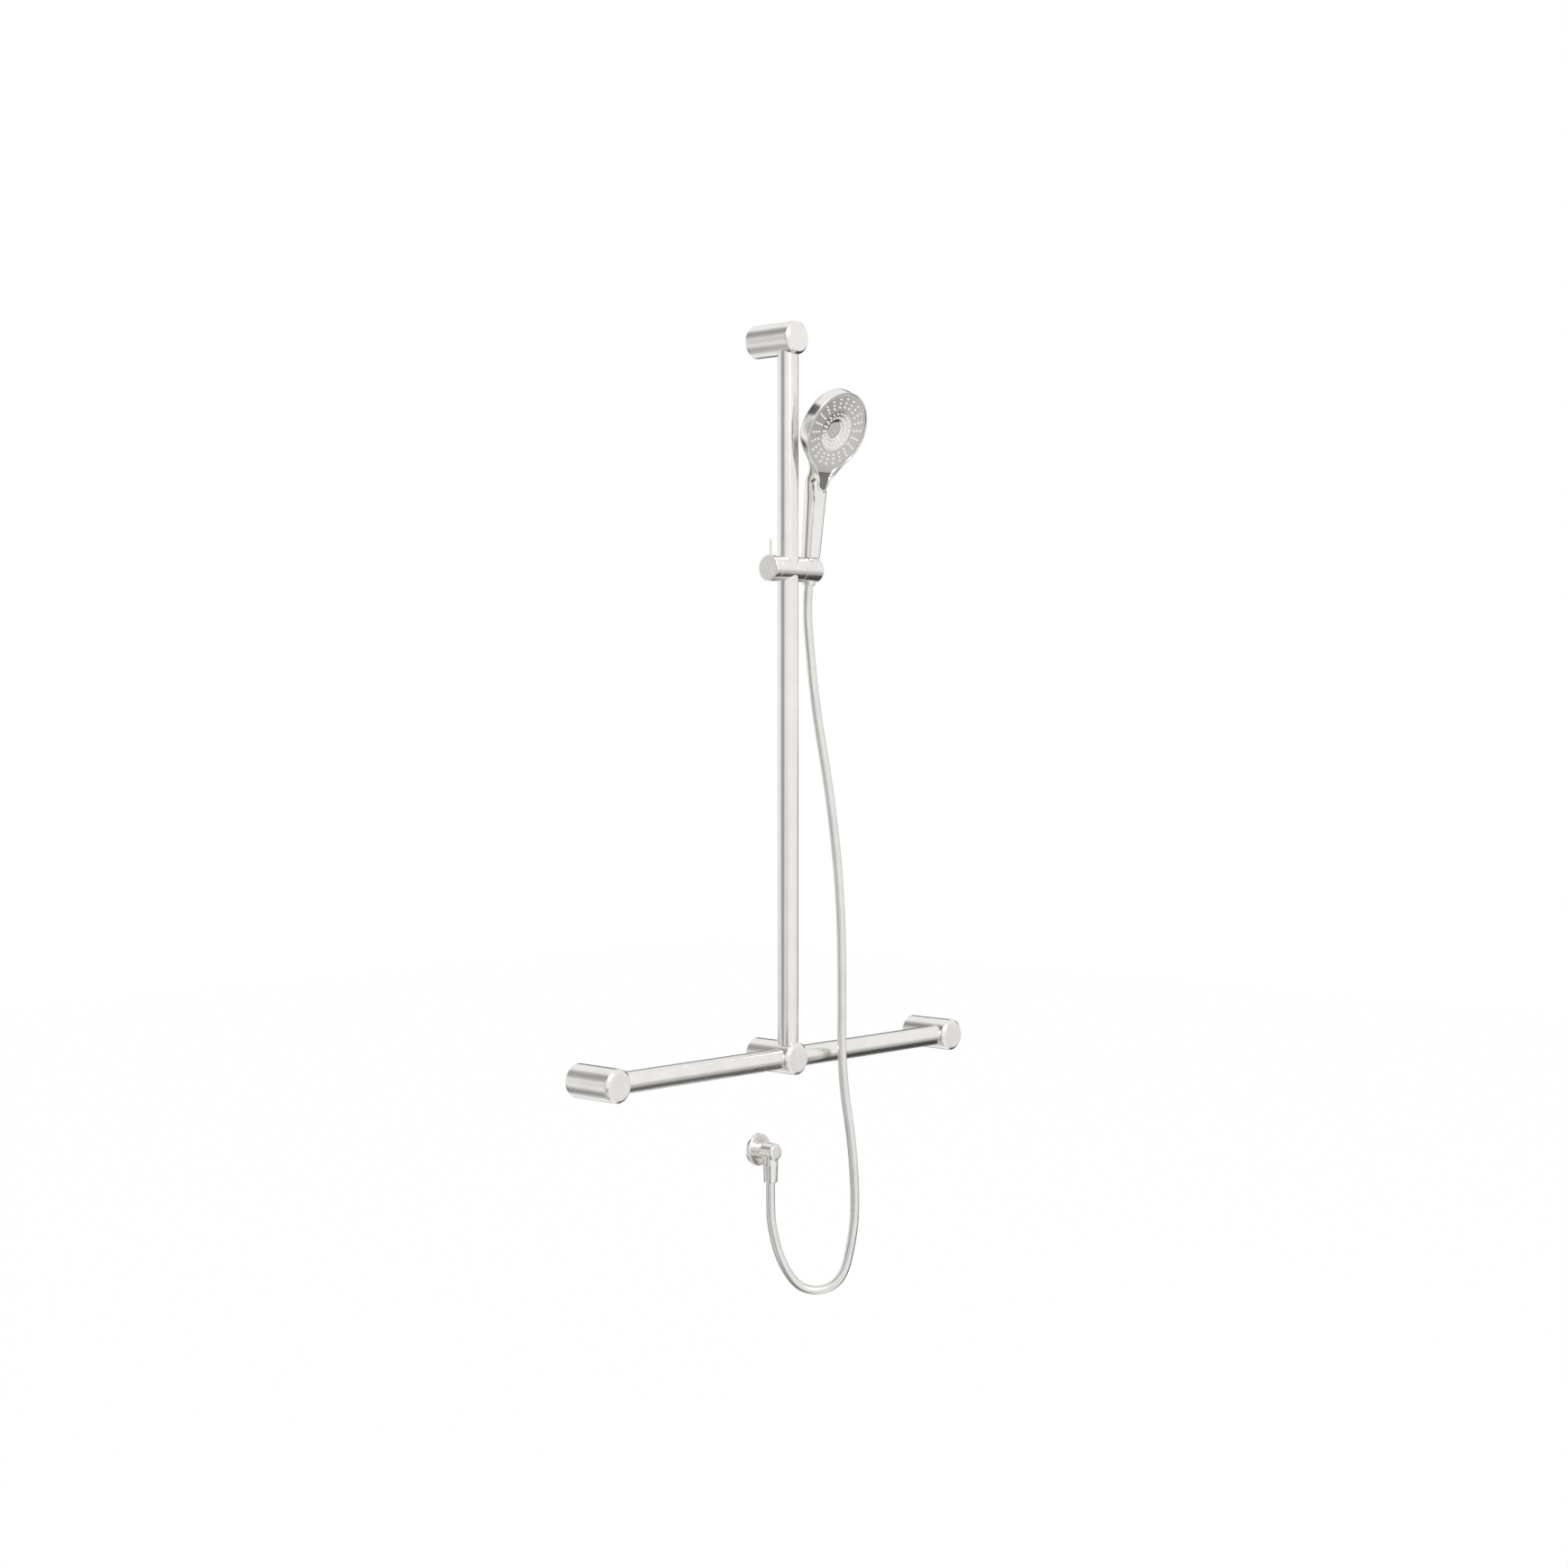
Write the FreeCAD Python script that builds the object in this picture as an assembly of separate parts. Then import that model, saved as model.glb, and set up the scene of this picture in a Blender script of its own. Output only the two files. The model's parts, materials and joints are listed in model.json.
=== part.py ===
import FreeCAD, Part
import os
from math import asin, cos, pi, radians, sin, sqrt, tan

V = FreeCAD.Vector

# Frame: X along the wall, Y into the wall, Z up, origin on the wall at the crossing of the rails.
RIGHT = V(1, 0, 0)
OUT = V(0, -1, 0)
UP = V(0, 0, 1)
DOWN = V(0, 0, -1)

# Clearances
running_gap = 0.05
screw_gap = 0.05
seat_gap = 0.15
near = 0.1
lock_gap = 0.05
slide_lock_gap = 0.3
face_gap = 0.4

# Rails
rail_r = 16.0
rail_wall = 1.5
rail_standoff = 66.0
riser_height = 1100.0
grab_span = 750.0
rail_overrun = 8.0

# Posts and the wall plates inside them
post_r = 25.0
post_length = 88.0
post_chamfer = 4.0
post_cavity_depth = 24.0
plate_r = 21.0
plate_thickness = 14.0
plate_cavity_gap = 0.1
plate_holes = 3
plate_hole_pcd = 26.0
plate_hole_r = 2.75
plate_sink_r = 5.2
groove_depth = 1.3
groove_from_wall = 7.0
grub_r = 2.5
grub_tip_r = 0.4
grub_inset = 0.4
lock_screw_r = 3.0
lock_screw_length = 20.0
hex_socket_r = 1.6
hex_socket_depth = 3.0

# Foot of the riser
foot_floor = 2.45
foot_plug_height = 22.0
foot_screw_r = 2.0
foot_head_r = 3.9
foot_head_height = 2.1
foot_head_inset = 0.15
foot_screw_length = 16.0

# Slider on the riser
slider_z = 750.0
barrel_r = 19.0
body_left = -31.0
body_right = 24.0
bore_gap = 0.35
barrel_edge = 1.0
liner_wall = 1.1
liner_half_height = 5.0
liner_slit = 2.0
knob_r = 19.5
knob_thickness = 13.6
knob_chamfer = 0.8
stud_r = 4.0
stud_in_knob = 9.0
pad_r = 5.0
pad_thickness = 3.2
pin_r = 1.75
pin_reach = 25.0
pin_root = 8.0
pin_tip_edge = 1.0

# Holder and its pivot
holder_right = 62.0
holder_edge = 1.5
socket_x = 49.0
hose_slot = 15.6
spigot_r = 9.0
spigot_length = 5.5
washer_r = 15.0
washer_thickness = 1.0
bolt_r = 3.0
bolt_depth = 6.5
bolt_head_r = 5.5
bolt_head_height = 3.4
bolt_web = 2.3
spring_washer_thickness = 1.0
rest_tilt = 5.8

# Cone nut and the inlet of the handset
cone_top_r = 12.9
cone_bottom_r = 10.0
cone_top = 18.8
cone_bottom = -23.0
cone_edge = 0.8
inlet_r = 9.5
inlet_depth = 14.3
inlet_washer_thickness = 2.5
washer_bore_r = 5.0
nut_bore_r = 6.0

# Handset: handle, head and spray face
handle_bottom = 19.3
handle_bottom_r = 14.3
handle_top_r = 16.6
face_forward = 35.8
face_height = 213.2
head_tilt = 17.5
head_r = 62.5
neck_blend_r = 95.0
handle_edge = 1.0
rim_width = 2.2
plate_tail_r = 10.0
plate_blend_r = 40.0
plate_gap = 0.15
plate_depth = 9.0
plate_recess = 0.6
dish_inset = 6.5
dish_depth = 1.8
funnel_r = 31.5
funnel_depth = 3.6
chamber_inset = 8.4
chamber_depth = 13.0
mat_gap = 0.2
mat_thickness = 1.5
nozzle_spokes = 22
nozzle_turn = 5.5
nozzle_rows = 3
nozzle_row_inset = 4.5
nozzle_row_pitch = 6.6
nozzle_inner_rows = 2
nozzle_inner_r = 20.5
nozzle_r = 1.55
nozzle_tip_r = 1.2
nozzle_height = 1.5
nozzle_gap = 0.15
ring_r = 17.5
disc_r = 13.0
ring_drop = 1.1
dimple_r = 1.2
dimple_depth = 0.8
seal_inset = 5.5
seal_section_r = 0.95

# Sections of the handset's skin: at a height on the face, or a share of the head's radius, the depth in
# front, the depth behind, the depth of the widest line, the squareness in front and behind, and the lean
section_points = 28
handle_sections = 5
neck_drop = 103.0
neck_sections = [
    (-82.0, (15.0, 15.5, 9.0, 2.1, 2.0, 4.0)),
    (-64.0, (17.0, 19.0, 2.6, 2.1, 1.75, 9.0)),
    (-50.0, (20.0, 20.5, 3.2, 2.1, 1.62, 13.0)),
    (-36.0, (24.0, 16.0, 7.5, 2.4, 2.2, 16.0)),
]
head_sections = [
    (-0.36, (28.0, 15.5, 10.5, 3.2, 3.0)),
    (0.0, (30.0, 15.0, 11.0, 3.8, 3.8)),
    (0.4, (30.0, 14.5, 11.0, 4.0, 4.0)),
    (0.7, (28.0, 13.5, 11.0, 4.0, 4.0)),
    (0.88, (24.0, 12.0, 11.0, 3.8, 3.8)),
    (0.96, (20.0, 10.5, 11.0, 3.4, 3.4)),
    (0.99, (16.0, 9.0, 11.0, 3.0, 3.0)),
    (0.998, (13.0, 7.5, 11.0, 2.6, 2.6)),
]

# Waterway inside the handle
waterway_r = 5.0
waterway_bore_r = 3.5
waterway_flange_r = 11.0
waterway_flange = 2.0
waterway_bend_drop = 66.0
waterway_bend_r = 25.0
waterway_end_depth = 30.2
waterway_end_drop = 37.5
well_r = 8.0
well_s = -38.0
well_depth = 22.0

# Mode button at the neck
button_top = -67.0
button_upper_length = 15.0
button_length = 17.0
button_travel = 2.5
pocket_inset = 2.2
pocket_depth = 5.2
tail_pocket_depth = 0.5
button_gap = 0.3
button_rise = 0.5
button_slope_end = 5.2
spool_drop = 9.0
spool_r = 2.5
spool_reach = 13.0
dome_r = 5.6
dome_top_r = 4.2
dome_wall = 0.7

# Wall outlet
outlet_z = -150.0
flange_r = 25.0
flange_thickness = 7.0
flange_chamfer = 1.5
flange_seal_r = 20.0
flange_seal_width = 4.0
flange_seal_depth = 2.0
elbow_r = 13.0
elbow_length = 42.0
elbow_edge = 3.0
leg_y = -29.0
leg_r = 10.4
leg_drop = 18.0
spigot_drop = 14.0
inlet_thread_r = 9.3
inlet_thread_length = 13.0
elbow_bore_r = 6.0
valve_r = 6.5
valve_length = 16.0
valve_wall = 1.9
valve_seat = 2.9
hose_washer_thickness = 2.0
outlet_nut_top_r = 11.9
outlet_nut_bottom_r = 10.6
outlet_nut_edge = 1.5
outlet_nut_top = 15.0
outlet_nut_length = 33.0

# Hose: chosen route from the outlet nut to the cone nut
hose_r = 7.0
hose_arc_share = 0.45
hose_lead = 36.0
hose_route = [
    (0.0, -29.0, -198.0),
    (0.0, -29.0, -230.0),
    (0.6, -29.6, -262.4),
    (10.3, -37.6, -316.1),
    (28.6, -53.0, -357.7),
    (48.8, -70.0, -370.6),
    (71.1, -88.7, -366.5),
    (87.8, -102.7, -346.9),
    (97.1, -110.4, -298.4),
    (102.4, -115.0, -241.4),
    (98.0, -111.5, -140.0),
    (88.5, -97.4, -30.0),
    (88.0, -98.9, 110.0),
    (86.0, -97.0, 250.0),
    (75.0, -86.1, 400.0),
    (57.5, -70.0, 540.0),
    (50.0, -64.1, 640.0),
]

# Places worked out from the sizes
rail_y = -rail_standoff
post_half_span = grab_span / 2
hand_frame = FreeCAD.Placement(V(socket_x, rail_y, slider_z), FreeCAD.Rotation(RIGHT, rest_tilt))
face_frame = hand_frame.multiply(
    FreeCAD.Placement(V(0, -face_forward, face_height), FreeCAD.Rotation(RIGHT, 90 + head_tilt)))
dish_r = head_r - dish_inset
chamber_r = head_r - chamber_inset
mat_r = chamber_r - mat_gap
seal_ring_r = head_r - seal_inset
button_step = button_top - button_upper_length
button_end = button_top - button_length
spool_s = button_top - spool_drop
nodes = {}


def rod(radius, length, at, axis):
    return Part.makeCylinder(radius, length, at, axis)


def bar(low, high):
    low, high = V(*low), V(*high)
    return Part.makeBox(high.x - low.x, high.y - low.y, high.z - low.z, low)


def turned(profile, at=V(0, 0, 0), axis=UP):
    """Solid turned from (radius, height) points about the axis through a point."""
    points = [V(r, 0, h) for r, h in profile]
    solid = Part.Face(Part.makePolygon(points + points[:1])).revolve(V(0, 0, 0), UP, 360)
    solid.Placement = FreeCAD.Placement(at, FreeCAD.Rotation(UP, axis))
    return solid


def tube(outer, inner, length, at, axis):
    return turned([(inner, 0), (outer, 0), (outer, length), (inner, length)], at, axis)


def in_frame(shape, frame):
    shape.Placement = frame.multiply(shape.Placement)
    return shape


def in_hand(shape):
    return in_frame(shape, hand_frame)


def on_face(shape):
    return in_frame(shape, face_frame)


def rounded(shape, radius, picked):
    return shape.makeFillet(radius, [e for e in shape.Edges if picked(e)])


# Rails, posts and wall plates

def rail(start, end):
    axis = end.sub(start)
    return tube(rail_r, rail_r - rail_wall, axis.Length, start, axis)


def post_blank(x, z):
    """Round post with its rear cavity and the two screw holes."""
    r, edge = post_r, post_chamfer
    body = turned([(0, 0), (r, 0), (r, post_length - edge), (r - edge, post_length), (0, post_length)],
                  V(x, 0, z), OUT)
    cavity = rod(plate_r + plate_cavity_gap, post_cavity_depth, V(x, 0, z), OUT)
    grub_hole = rod(grub_r + screw_gap, post_r, V(x, -groove_from_wall, z), DOWN)
    lock_hole = rod(lock_screw_r + screw_gap, rail_standoff, V(x, 0, z), OUT)
    return body.cut([cavity, grub_hole, lock_hole])


def end_post(side):
    """Post at one end of the grab rail, with a blind bore for the rail."""
    x = side * post_half_span
    bore = rod(rail_r + running_gap, post_r + rail_overrun + running_gap,
               V(x + side * (rail_overrun + running_gap), rail_y, 0), RIGHT * -side)
    return post_blank(x, 0).cut(bore)


def top_post():
    bore = rod(rail_r + running_gap, post_r + rail_overrun + running_gap,
               V(0, rail_y, riser_height + rail_overrun + running_gap), DOWN)
    return post_blank(0, riser_height).cut(bore)


def riser_foot():
    """Height of the riser's foot above the grab rail's axis."""
    return rail_r + running_gap + foot_floor


def centre_post():
    """Crossing post: the grab rail runs through it, the riser stands in its top."""
    through = rod(rail_r + running_gap, 2 * post_r, V(-post_r, rail_y, 0), RIGHT)
    socket = rod(rail_r + running_gap, post_r, V(0, rail_y, riser_foot()), UP)
    shank = rod(foot_screw_r + screw_gap, post_r, V(0, rail_y, rail_r), UP)
    head = foot_head(screw_gap)
    return post_blank(0, 0).cut([through, socket, shank, head])


def foot_head(gap):
    base = rail_r + foot_head_inset
    return turned([(0, -gap), (foot_head_r + gap, -gap), (foot_screw_r + gap, foot_head_height),
                   (0, foot_head_height)], V(0, rail_y, base), UP)


def foot_screw():
    base = rail_r + foot_head_inset
    shank = rod(foot_screw_r, foot_screw_length, V(0, rail_y, base), UP)
    drive = rod(hex_socket_r, foot_head_height / 2, V(0, rail_y, base), UP)
    return foot_head(0).fuse(shank).removeSplitter().cut(drive)


def foot_plug():
    inner = rail_r - rail_wall - running_gap
    thread = foot_screw_r + screw_gap
    return tube(inner, thread, foot_plug_height, V(0, rail_y, riser_foot()), UP)


def wall_plate(x, z):
    """Plate with a V groove for the grub screw and countersunk holes for the wall screws."""
    r, g, t = plate_r, groove_depth, plate_thickness
    body = turned([(0, 0), (r, 0), (r, groove_from_wall - g), (r - g, groove_from_wall),
                   (r, groove_from_wall + g), (r, t), (0, t)], V(x, 0, z), OUT)
    sink = plate_sink_r - plate_hole_r
    cuts = []
    for k in range(plate_holes):
        angle = pi / 2 + 2 * pi * k / plate_holes
        at = V(x + plate_hole_pcd / 2 * cos(angle), 0, z + plate_hole_pcd / 2 * sin(angle))
        cuts.append(rod(plate_hole_r, t, at, OUT))
        cuts.append(turned([(0, t - sink), (plate_hole_r, t - sink), (plate_sink_r, t), (0, t)], at, OUT))
    return body.cut(cuts)


def grub_screw(x, z):
    """Cone point grub screw, from below into the plate's groove."""
    tip = plate_r - groove_depth + grub_tip_r + screw_gap
    cone = grub_r - grub_tip_r
    head = post_r - grub_inset
    body = turned([(0, tip), (grub_tip_r, tip), (grub_r, tip + cone), (grub_r, head), (0, head)],
                  V(x, -groove_from_wall, z), DOWN)
    return body.cut(rod(hex_socket_r / 2, hex_socket_depth / 2, V(x, -groove_from_wall, z - head), UP))


def lock_screw(x, z, gap):
    tip = rail_standoff - rail_r - gap
    body = rod(lock_screw_r, lock_screw_length, V(x, -tip, z), V(0, 1, 0))
    return body.cut(rod(hex_socket_r, hex_socket_depth, V(x, lock_screw_length - tip, z), OUT))


def add_post(name, post, x, z, gap):
    nodes[name + "_post"] = post
    nodes[name + "_wall_plate"] = wall_plate(x, z)
    nodes[name + "_post_grub_screw"] = grub_screw(x, z)
    nodes[name + "_rail_lock_screw"] = lock_screw(x, z, gap)


def add_rails():
    reach = post_half_span + rail_overrun
    nodes["horizontal_rail"] = rail(V(-reach, rail_y, 0), V(reach, rail_y, 0))
    nodes["vertical_rail"] = rail(V(0, rail_y, riser_foot()), V(0, rail_y, riser_height + rail_overrun))
    add_post("left", end_post(-1), -post_half_span, 0, lock_gap)
    add_post("right", end_post(1), post_half_span, 0, lock_gap)
    add_post("centre", centre_post(), 0, 0, slide_lock_gap)
    add_post("top", top_post(), 0, riser_height, lock_gap)
    nodes["riser_foot_plug"] = foot_plug()
    nodes["riser_foot_screw"] = foot_screw()


# Wall outlet and hose

def outlet_point(y, drop=0.0):
    return V(0, y, outlet_z - drop)


def outlet_flange():
    r, t, edge = flange_r, flange_thickness, flange_chamfer
    bore = elbow_r + running_gap
    seal_in = flange_seal_r - flange_seal_width / 2 - running_gap
    seal_out = flange_seal_r + flange_seal_width / 2 + running_gap
    return turned([(bore, 0), (seal_in, 0), (seal_in, flange_seal_depth), (seal_out, flange_seal_depth),
                   (seal_out, 0), (r, 0), (r, t - edge), (r - edge, t), (bore, t)], outlet_point(0), OUT)


def flange_seal():
    half = flange_seal_width / 2
    return tube(flange_seal_r + half, flange_seal_r - half, flange_seal_depth, outlet_point(0), OUT)


def outlet_elbow():
    """Turned body with a downward leg, drilled from the wall and from below."""
    body = rod(elbow_r, elbow_length, outlet_point(0), OUT)
    body = rounded(body, elbow_edge, lambda e: e.BoundBox.YMax < -elbow_length + near)
    leg = rod(leg_r, leg_drop, outlet_point(leg_y), DOWN)
    spigot = rod(inlet_r, leg_drop + spigot_drop, outlet_point(leg_y), DOWN)
    body = body.fuse([leg, spigot]).removeSplitter()
    thread = rod(inlet_thread_r, inlet_thread_length, outlet_point(0), OUT)
    across = rod(elbow_bore_r, -leg_y, outlet_point(0), OUT)
    down = rod(elbow_bore_r, leg_drop + spigot_drop, outlet_point(leg_y), DOWN)
    seat = rod(valve_r + running_gap, valve_length, outlet_point(leg_y, leg_drop + spigot_drop), UP)
    return body.cut([thread, across, down, seat])


def check_valve():
    """Cartridge with a sprung cone, drawn as one piece."""
    r, n = valve_r, valve_length
    wide, narrow, middle = valve_r - valve_wall, valve_r - valve_seat, valve_length / 2
    return turned([(narrow, 0), (r, 0), (r, n), (wide, n), (wide, middle + valve_wall), (narrow, middle)],
                  outlet_point(leg_y, leg_drop + spigot_drop), UP)


def hose_washer():
    low = leg_drop + spigot_drop + hose_washer_thickness
    return tube(inlet_r, washer_bore_r, hose_washer_thickness, outlet_point(leg_y, low), UP)


def outlet_nut():
    """Conical hose nut under the outlet, measured downwards from its top edge."""
    end = outlet_nut_length
    floor = leg_drop + spigot_drop + hose_washer_thickness + running_gap - outlet_nut_top
    top_r, low_r, edge = outlet_nut_top_r, outlet_nut_bottom_r, outlet_nut_edge
    bore = inlet_r + running_gap
    mouth = leg_r + running_gap
    leg_end = leg_drop - outlet_nut_top + running_gap
    return turned([(mouth, 0), (top_r, 0), (low_r, end - edge), (low_r - edge, end), (nut_bore_r, end),
                   (nut_bore_r, floor), (bore, floor), (bore, leg_end), (mouth, leg_end)],
                  outlet_point(leg_y, outlet_nut_top), DOWN)


def hose_points():
    """The chosen route, led straight into the lower face of the cone nut."""
    lead = [hand_frame.multVec(V(0, 0, z)) for z in (cone_bottom - hose_lead, cone_bottom)]
    return [V(*p) for p in hose_route] + lead


def hose():
    """Round hose of straight runs joined by tangent arcs, as large as the runs allow."""
    points = hose_points()
    edges, start, radii, length = [], points[0], [], 0.0
    for before, corner, after in zip(points, points[1:], points[2:]):
        a, b = before.sub(corner), after.sub(corner)
        trim = hose_arc_share * min(a.Length, b.Length)
        half_turn = (pi - a.getAngle(b)) / 2
        radius = trim / tan(half_turn)
        radii.append(round(radius))
        p, q = corner.add(a.normalize() * trim), corner.add(b.normalize() * trim)
        middle = a.add(b).normalize() * (radius / cos(half_turn) - radius)
        edges.append(Part.LineSegment(start, p).toShape())
        edges.append(Part.Arc(p, corner.add(middle), q).toShape())
        start = q
    edges.append(Part.LineSegment(start, points[-1]).toShape())
    path = Part.Wire(edges)
    section = Part.Wire(Part.makeCircle(hose_r, points[0], points[1].sub(points[0])))
    solid = path.makePipeShell([section], True, False)
    expected = pi * hose_r ** 2 * path.Length
    print("hose radii mm", radii)
    print("hose length mm", round(path.Length), "volume over section times length", solid.Volume / expected)
    return solid


def add_outlet():
    nodes["outlet_flange"] = outlet_flange()
    nodes["outlet_flange_seal"] = flange_seal()
    nodes["outlet_elbow"] = outlet_elbow()
    nodes["outlet_check_valve"] = check_valve()
    nodes["outlet_hose_washer"] = hose_washer()
    nodes["hose_outlet_nut"] = outlet_nut()
    nodes["hose"] = hose()


# Slider and its clamp

def on_barrel(x):
    return V(x, rail_y, slider_z)


def liner_r():
    return rail_r + running_gap + liner_wall


def slider_liner():
    h = liner_half_height
    ring = tube(liner_r(), rail_r + running_gap, 2 * h, V(0, rail_y, slider_z - h), UP)
    slit = bar((-liner_slit / 2, rail_y - liner_r(), slider_z - h),
               (liner_slit / 2, rail_y, slider_z + h))
    return ring.cut(slit)


def slider_body():
    """Barrel across the riser, with the clamp hole on the left and the pivot spigot on the right."""
    barrel = rod(barrel_r, body_right - body_left, on_barrel(body_left), RIGHT)
    barrel = rounded(barrel, barrel_edge / 2, lambda e: e.BoundBox.XLength < near)
    spigot = rod(spigot_r, spigot_length, on_barrel(body_right), RIGHT)
    barrel = barrel.fuse(spigot).removeSplitter()
    groove = liner_half_height + running_gap
    bore = rod(rail_r + bore_gap, 2 * barrel_r, V(0, rail_y, slider_z - barrel_r), UP)
    liner_groove = rod(liner_r() + running_gap, 2 * groove, V(0, rail_y, slider_z - groove), UP)
    stud_hole = rod(stud_r + running_gap, -body_left, on_barrel(body_left), RIGHT)
    pad_end = pad_reach() + running_gap
    pad_hole = rod(pad_r + running_gap, pad_end, on_barrel(-pad_end), RIGHT)
    bolt_hole = rod(bolt_r + screw_gap, bolt_depth + spigot_length,
                    on_barrel(body_right - bolt_depth), RIGHT)
    return barrel.cut([bore, liner_groove, stud_hole, pad_hole, bolt_hole])


def pad_reach():
    return liner_r() + running_gap + pad_thickness


def clamp_pad():
    """Plastic pad that the stud presses on the liner."""
    pad = rod(pad_r, pad_reach(), on_barrel(-pad_reach()), RIGHT)
    hollow = rod(liner_r() + running_gap, 2 * barrel_r, V(0, rail_y, slider_z - barrel_r), UP)
    return pad.cut(hollow)


def knob_right():
    return body_left - face_gap


def clamp_knob():
    r, t, edge = knob_r, knob_thickness, knob_chamfer
    knob = turned([(0, 0), (r - edge / 2, 0), (r, edge / 2), (r, t - edge), (r - edge, t), (0, t)],
                  on_barrel(knob_right()), RIGHT * -1)
    stud_hole = rod(stud_r, stud_in_knob, on_barrel(knob_right()), RIGHT * -1)
    pin_hole = rod(pin_r, knob_r, pin_foot(), UP)
    return knob.cut([stud_hole, pin_hole])


def pin_foot():
    return V(knob_right() - knob_thickness / 2, rail_y, slider_z + pin_root)


def lever_pin():
    """Lever pin with a domed tip."""
    length = knob_r + pin_reach - pin_root
    pin = rod(pin_r, length, pin_foot(), UP)
    tip = pin_foot().z + length
    return rounded(pin, pin_tip_edge, lambda e: e.BoundBox.ZMin > tip - near)


def clamp_stud():
    start = knob_right() - stud_in_knob
    stud = rod(stud_r, -pad_reach() - running_gap - start, on_barrel(start), RIGHT)
    through_pin = rod(pin_r, knob_r, pin_foot(), UP)
    return stud.cut(through_pin)


def add_slider():
    nodes["slider_liner"] = slider_liner()
    nodes["slider_body"] = slider_body()
    nodes["clamp_pad"] = clamp_pad()
    nodes["clamp_knob"] = clamp_knob()
    nodes["lever_pin"] = lever_pin()
    nodes["clamp_stud"] = clamp_stud()


# Holder and its pivot

def holder_left():
    return body_right + face_gap


def web_left():
    return body_right + spigot_length + running_gap


def web_right():
    return web_left() + bolt_web


def head_left():
    return web_right() + spring_washer_thickness + 2 * running_gap


def cone_radius(z):
    share = (cone_top - z) / (cone_top - cone_bottom)
    return cone_top_r + (cone_bottom_r - cone_top_r) * share


def socket_cut():
    """Cone socket, a little wider than the nut that seats in it, with the slot that lets the hose in."""
    low, high = -2 * barrel_r, 2 * barrel_r
    gap = seat_gap
    cone = turned([(0, low), (cone_radius(low) + gap, low), (cone_radius(high) + gap, high), (0, high)])
    slot = bar((0, -hose_slot / 2, low), (holder_right, hose_slot / 2, high))
    return in_hand(cone.fuse(slot))


def handset_holder():
    barrel = rod(barrel_r, holder_right - holder_left(), on_barrel(holder_left()), RIGHT)
    barrel = rounded(barrel, holder_edge, lambda e: e.BoundBox.XMin > holder_right - near)
    spigot = rod(spigot_r + running_gap, web_left() - body_right, on_barrel(body_right), RIGHT)
    washer = rod(washer_r + running_gap, washer_thickness + running_gap, on_barrel(body_right), RIGHT)
    shank = rod(bolt_r + screw_gap, holder_right - body_right, on_barrel(body_right), RIGHT)
    shank = shank.common(bar((body_right, rail_y - barrel_r, slider_z - barrel_r),
                             (socket_x, rail_y + barrel_r, slider_z + barrel_r)))
    head = rod(bolt_head_r + running_gap, socket_x - web_right(), on_barrel(web_right()), RIGHT)
    return barrel.cut([socket_cut(), spigot, washer, shank, head])


def friction_washer():
    return tube(washer_r, spigot_r + running_gap, washer_thickness, on_barrel(body_right), RIGHT)


def spring_washer():
    return tube(bolt_head_r, bolt_r + screw_gap, spring_washer_thickness,
                on_barrel(web_right() + running_gap), RIGHT)


def pivot_bolt():
    start = body_right - bolt_depth
    shank = rod(bolt_r, head_left() - start, on_barrel(start), RIGHT)
    head = rod(bolt_head_r, bolt_head_height, on_barrel(head_left()), RIGHT)
    drive = rod(hex_socket_r, bolt_head_height / 2, on_barrel(head_left() + bolt_head_height), RIGHT * -1)
    return shank.fuse(head).removeSplitter().cut(drive)


def add_holder():
    nodes["handset_holder"] = handset_holder()
    nodes["holder_friction_washer"] = friction_washer()
    nodes["holder_spring_washer"] = spring_washer()
    nodes["holder_pivot_bolt"] = pivot_bolt()


# Handset: outline of the head seen square on, in the plane of the spray face

def blend_centre(circle_r, tail_r, blend_r):
    """Centre of the hollow arc that leads a circle into a narrow tail below it."""
    x = tail_r + blend_r
    return x, -sqrt((circle_r + blend_r) ** 2 - x ** 2)


def half_width(s):
    """Half width of the head at a height s above the middle of its face."""
    x, low = blend_centre(head_r, handle_top_r, neck_blend_r)
    touch = low * head_r / (head_r + neck_blend_r)
    if s > touch:
        return sqrt(head_r ** 2 - s ** 2)
    if s < low:
        return handle_top_r
    return x - sqrt(neck_blend_r ** 2 - (s - low) ** 2)


def teardrop(inset, end):
    """Outline of the plate and button, drawn in by an inset and rounded off below a height."""
    circle_r = head_r - rim_width
    x, low = blend_centre(circle_r, plate_tail_r, plate_blend_r)
    share = 1 / (circle_r + plate_blend_r)
    arc_r = plate_blend_r + inset
    slope = asin((end - low) / arc_r)
    foot_x = x - arc_r * cos(slope)
    foot_r = foot_x / cos(slope)
    bottom = end + foot_x * tan(slope) - foot_r
    r = circle_r - inset
    touch_x, touch_y = x * share * r, low * share * r
    mid_slope = (asin((touch_y - low) / arc_r) + slope) / 2
    mid_x, mid_y = x - arc_r * cos(mid_slope), low + arc_r * sin(mid_slope)
    edges = [
        Part.Arc(V(touch_x, touch_y, 0), V(0, r, 0), V(-touch_x, touch_y, 0)).toShape(),
        Part.Arc(V(-touch_x, touch_y, 0), V(-mid_x, mid_y, 0), V(-foot_x, end, 0)).toShape(),
        Part.Arc(V(-foot_x, end, 0), V(0, bottom, 0), V(foot_x, end, 0)).toShape(),
        Part.Arc(V(foot_x, end, 0), V(mid_x, mid_y, 0), V(touch_x, touch_y, 0)).toShape(),
    ]
    return Part.Face(Part.Wire(edges))


def raised(face, low, high):
    """Prism over a face between two heights above the spray face's plane."""
    face.translate(V(0, 0, low))
    return face.extrude(V(0, 0, high - low))


def face_box(x, s_low, s_high, low, high):
    return bar((-x, s_low, low), (x, s_high, high))


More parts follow.
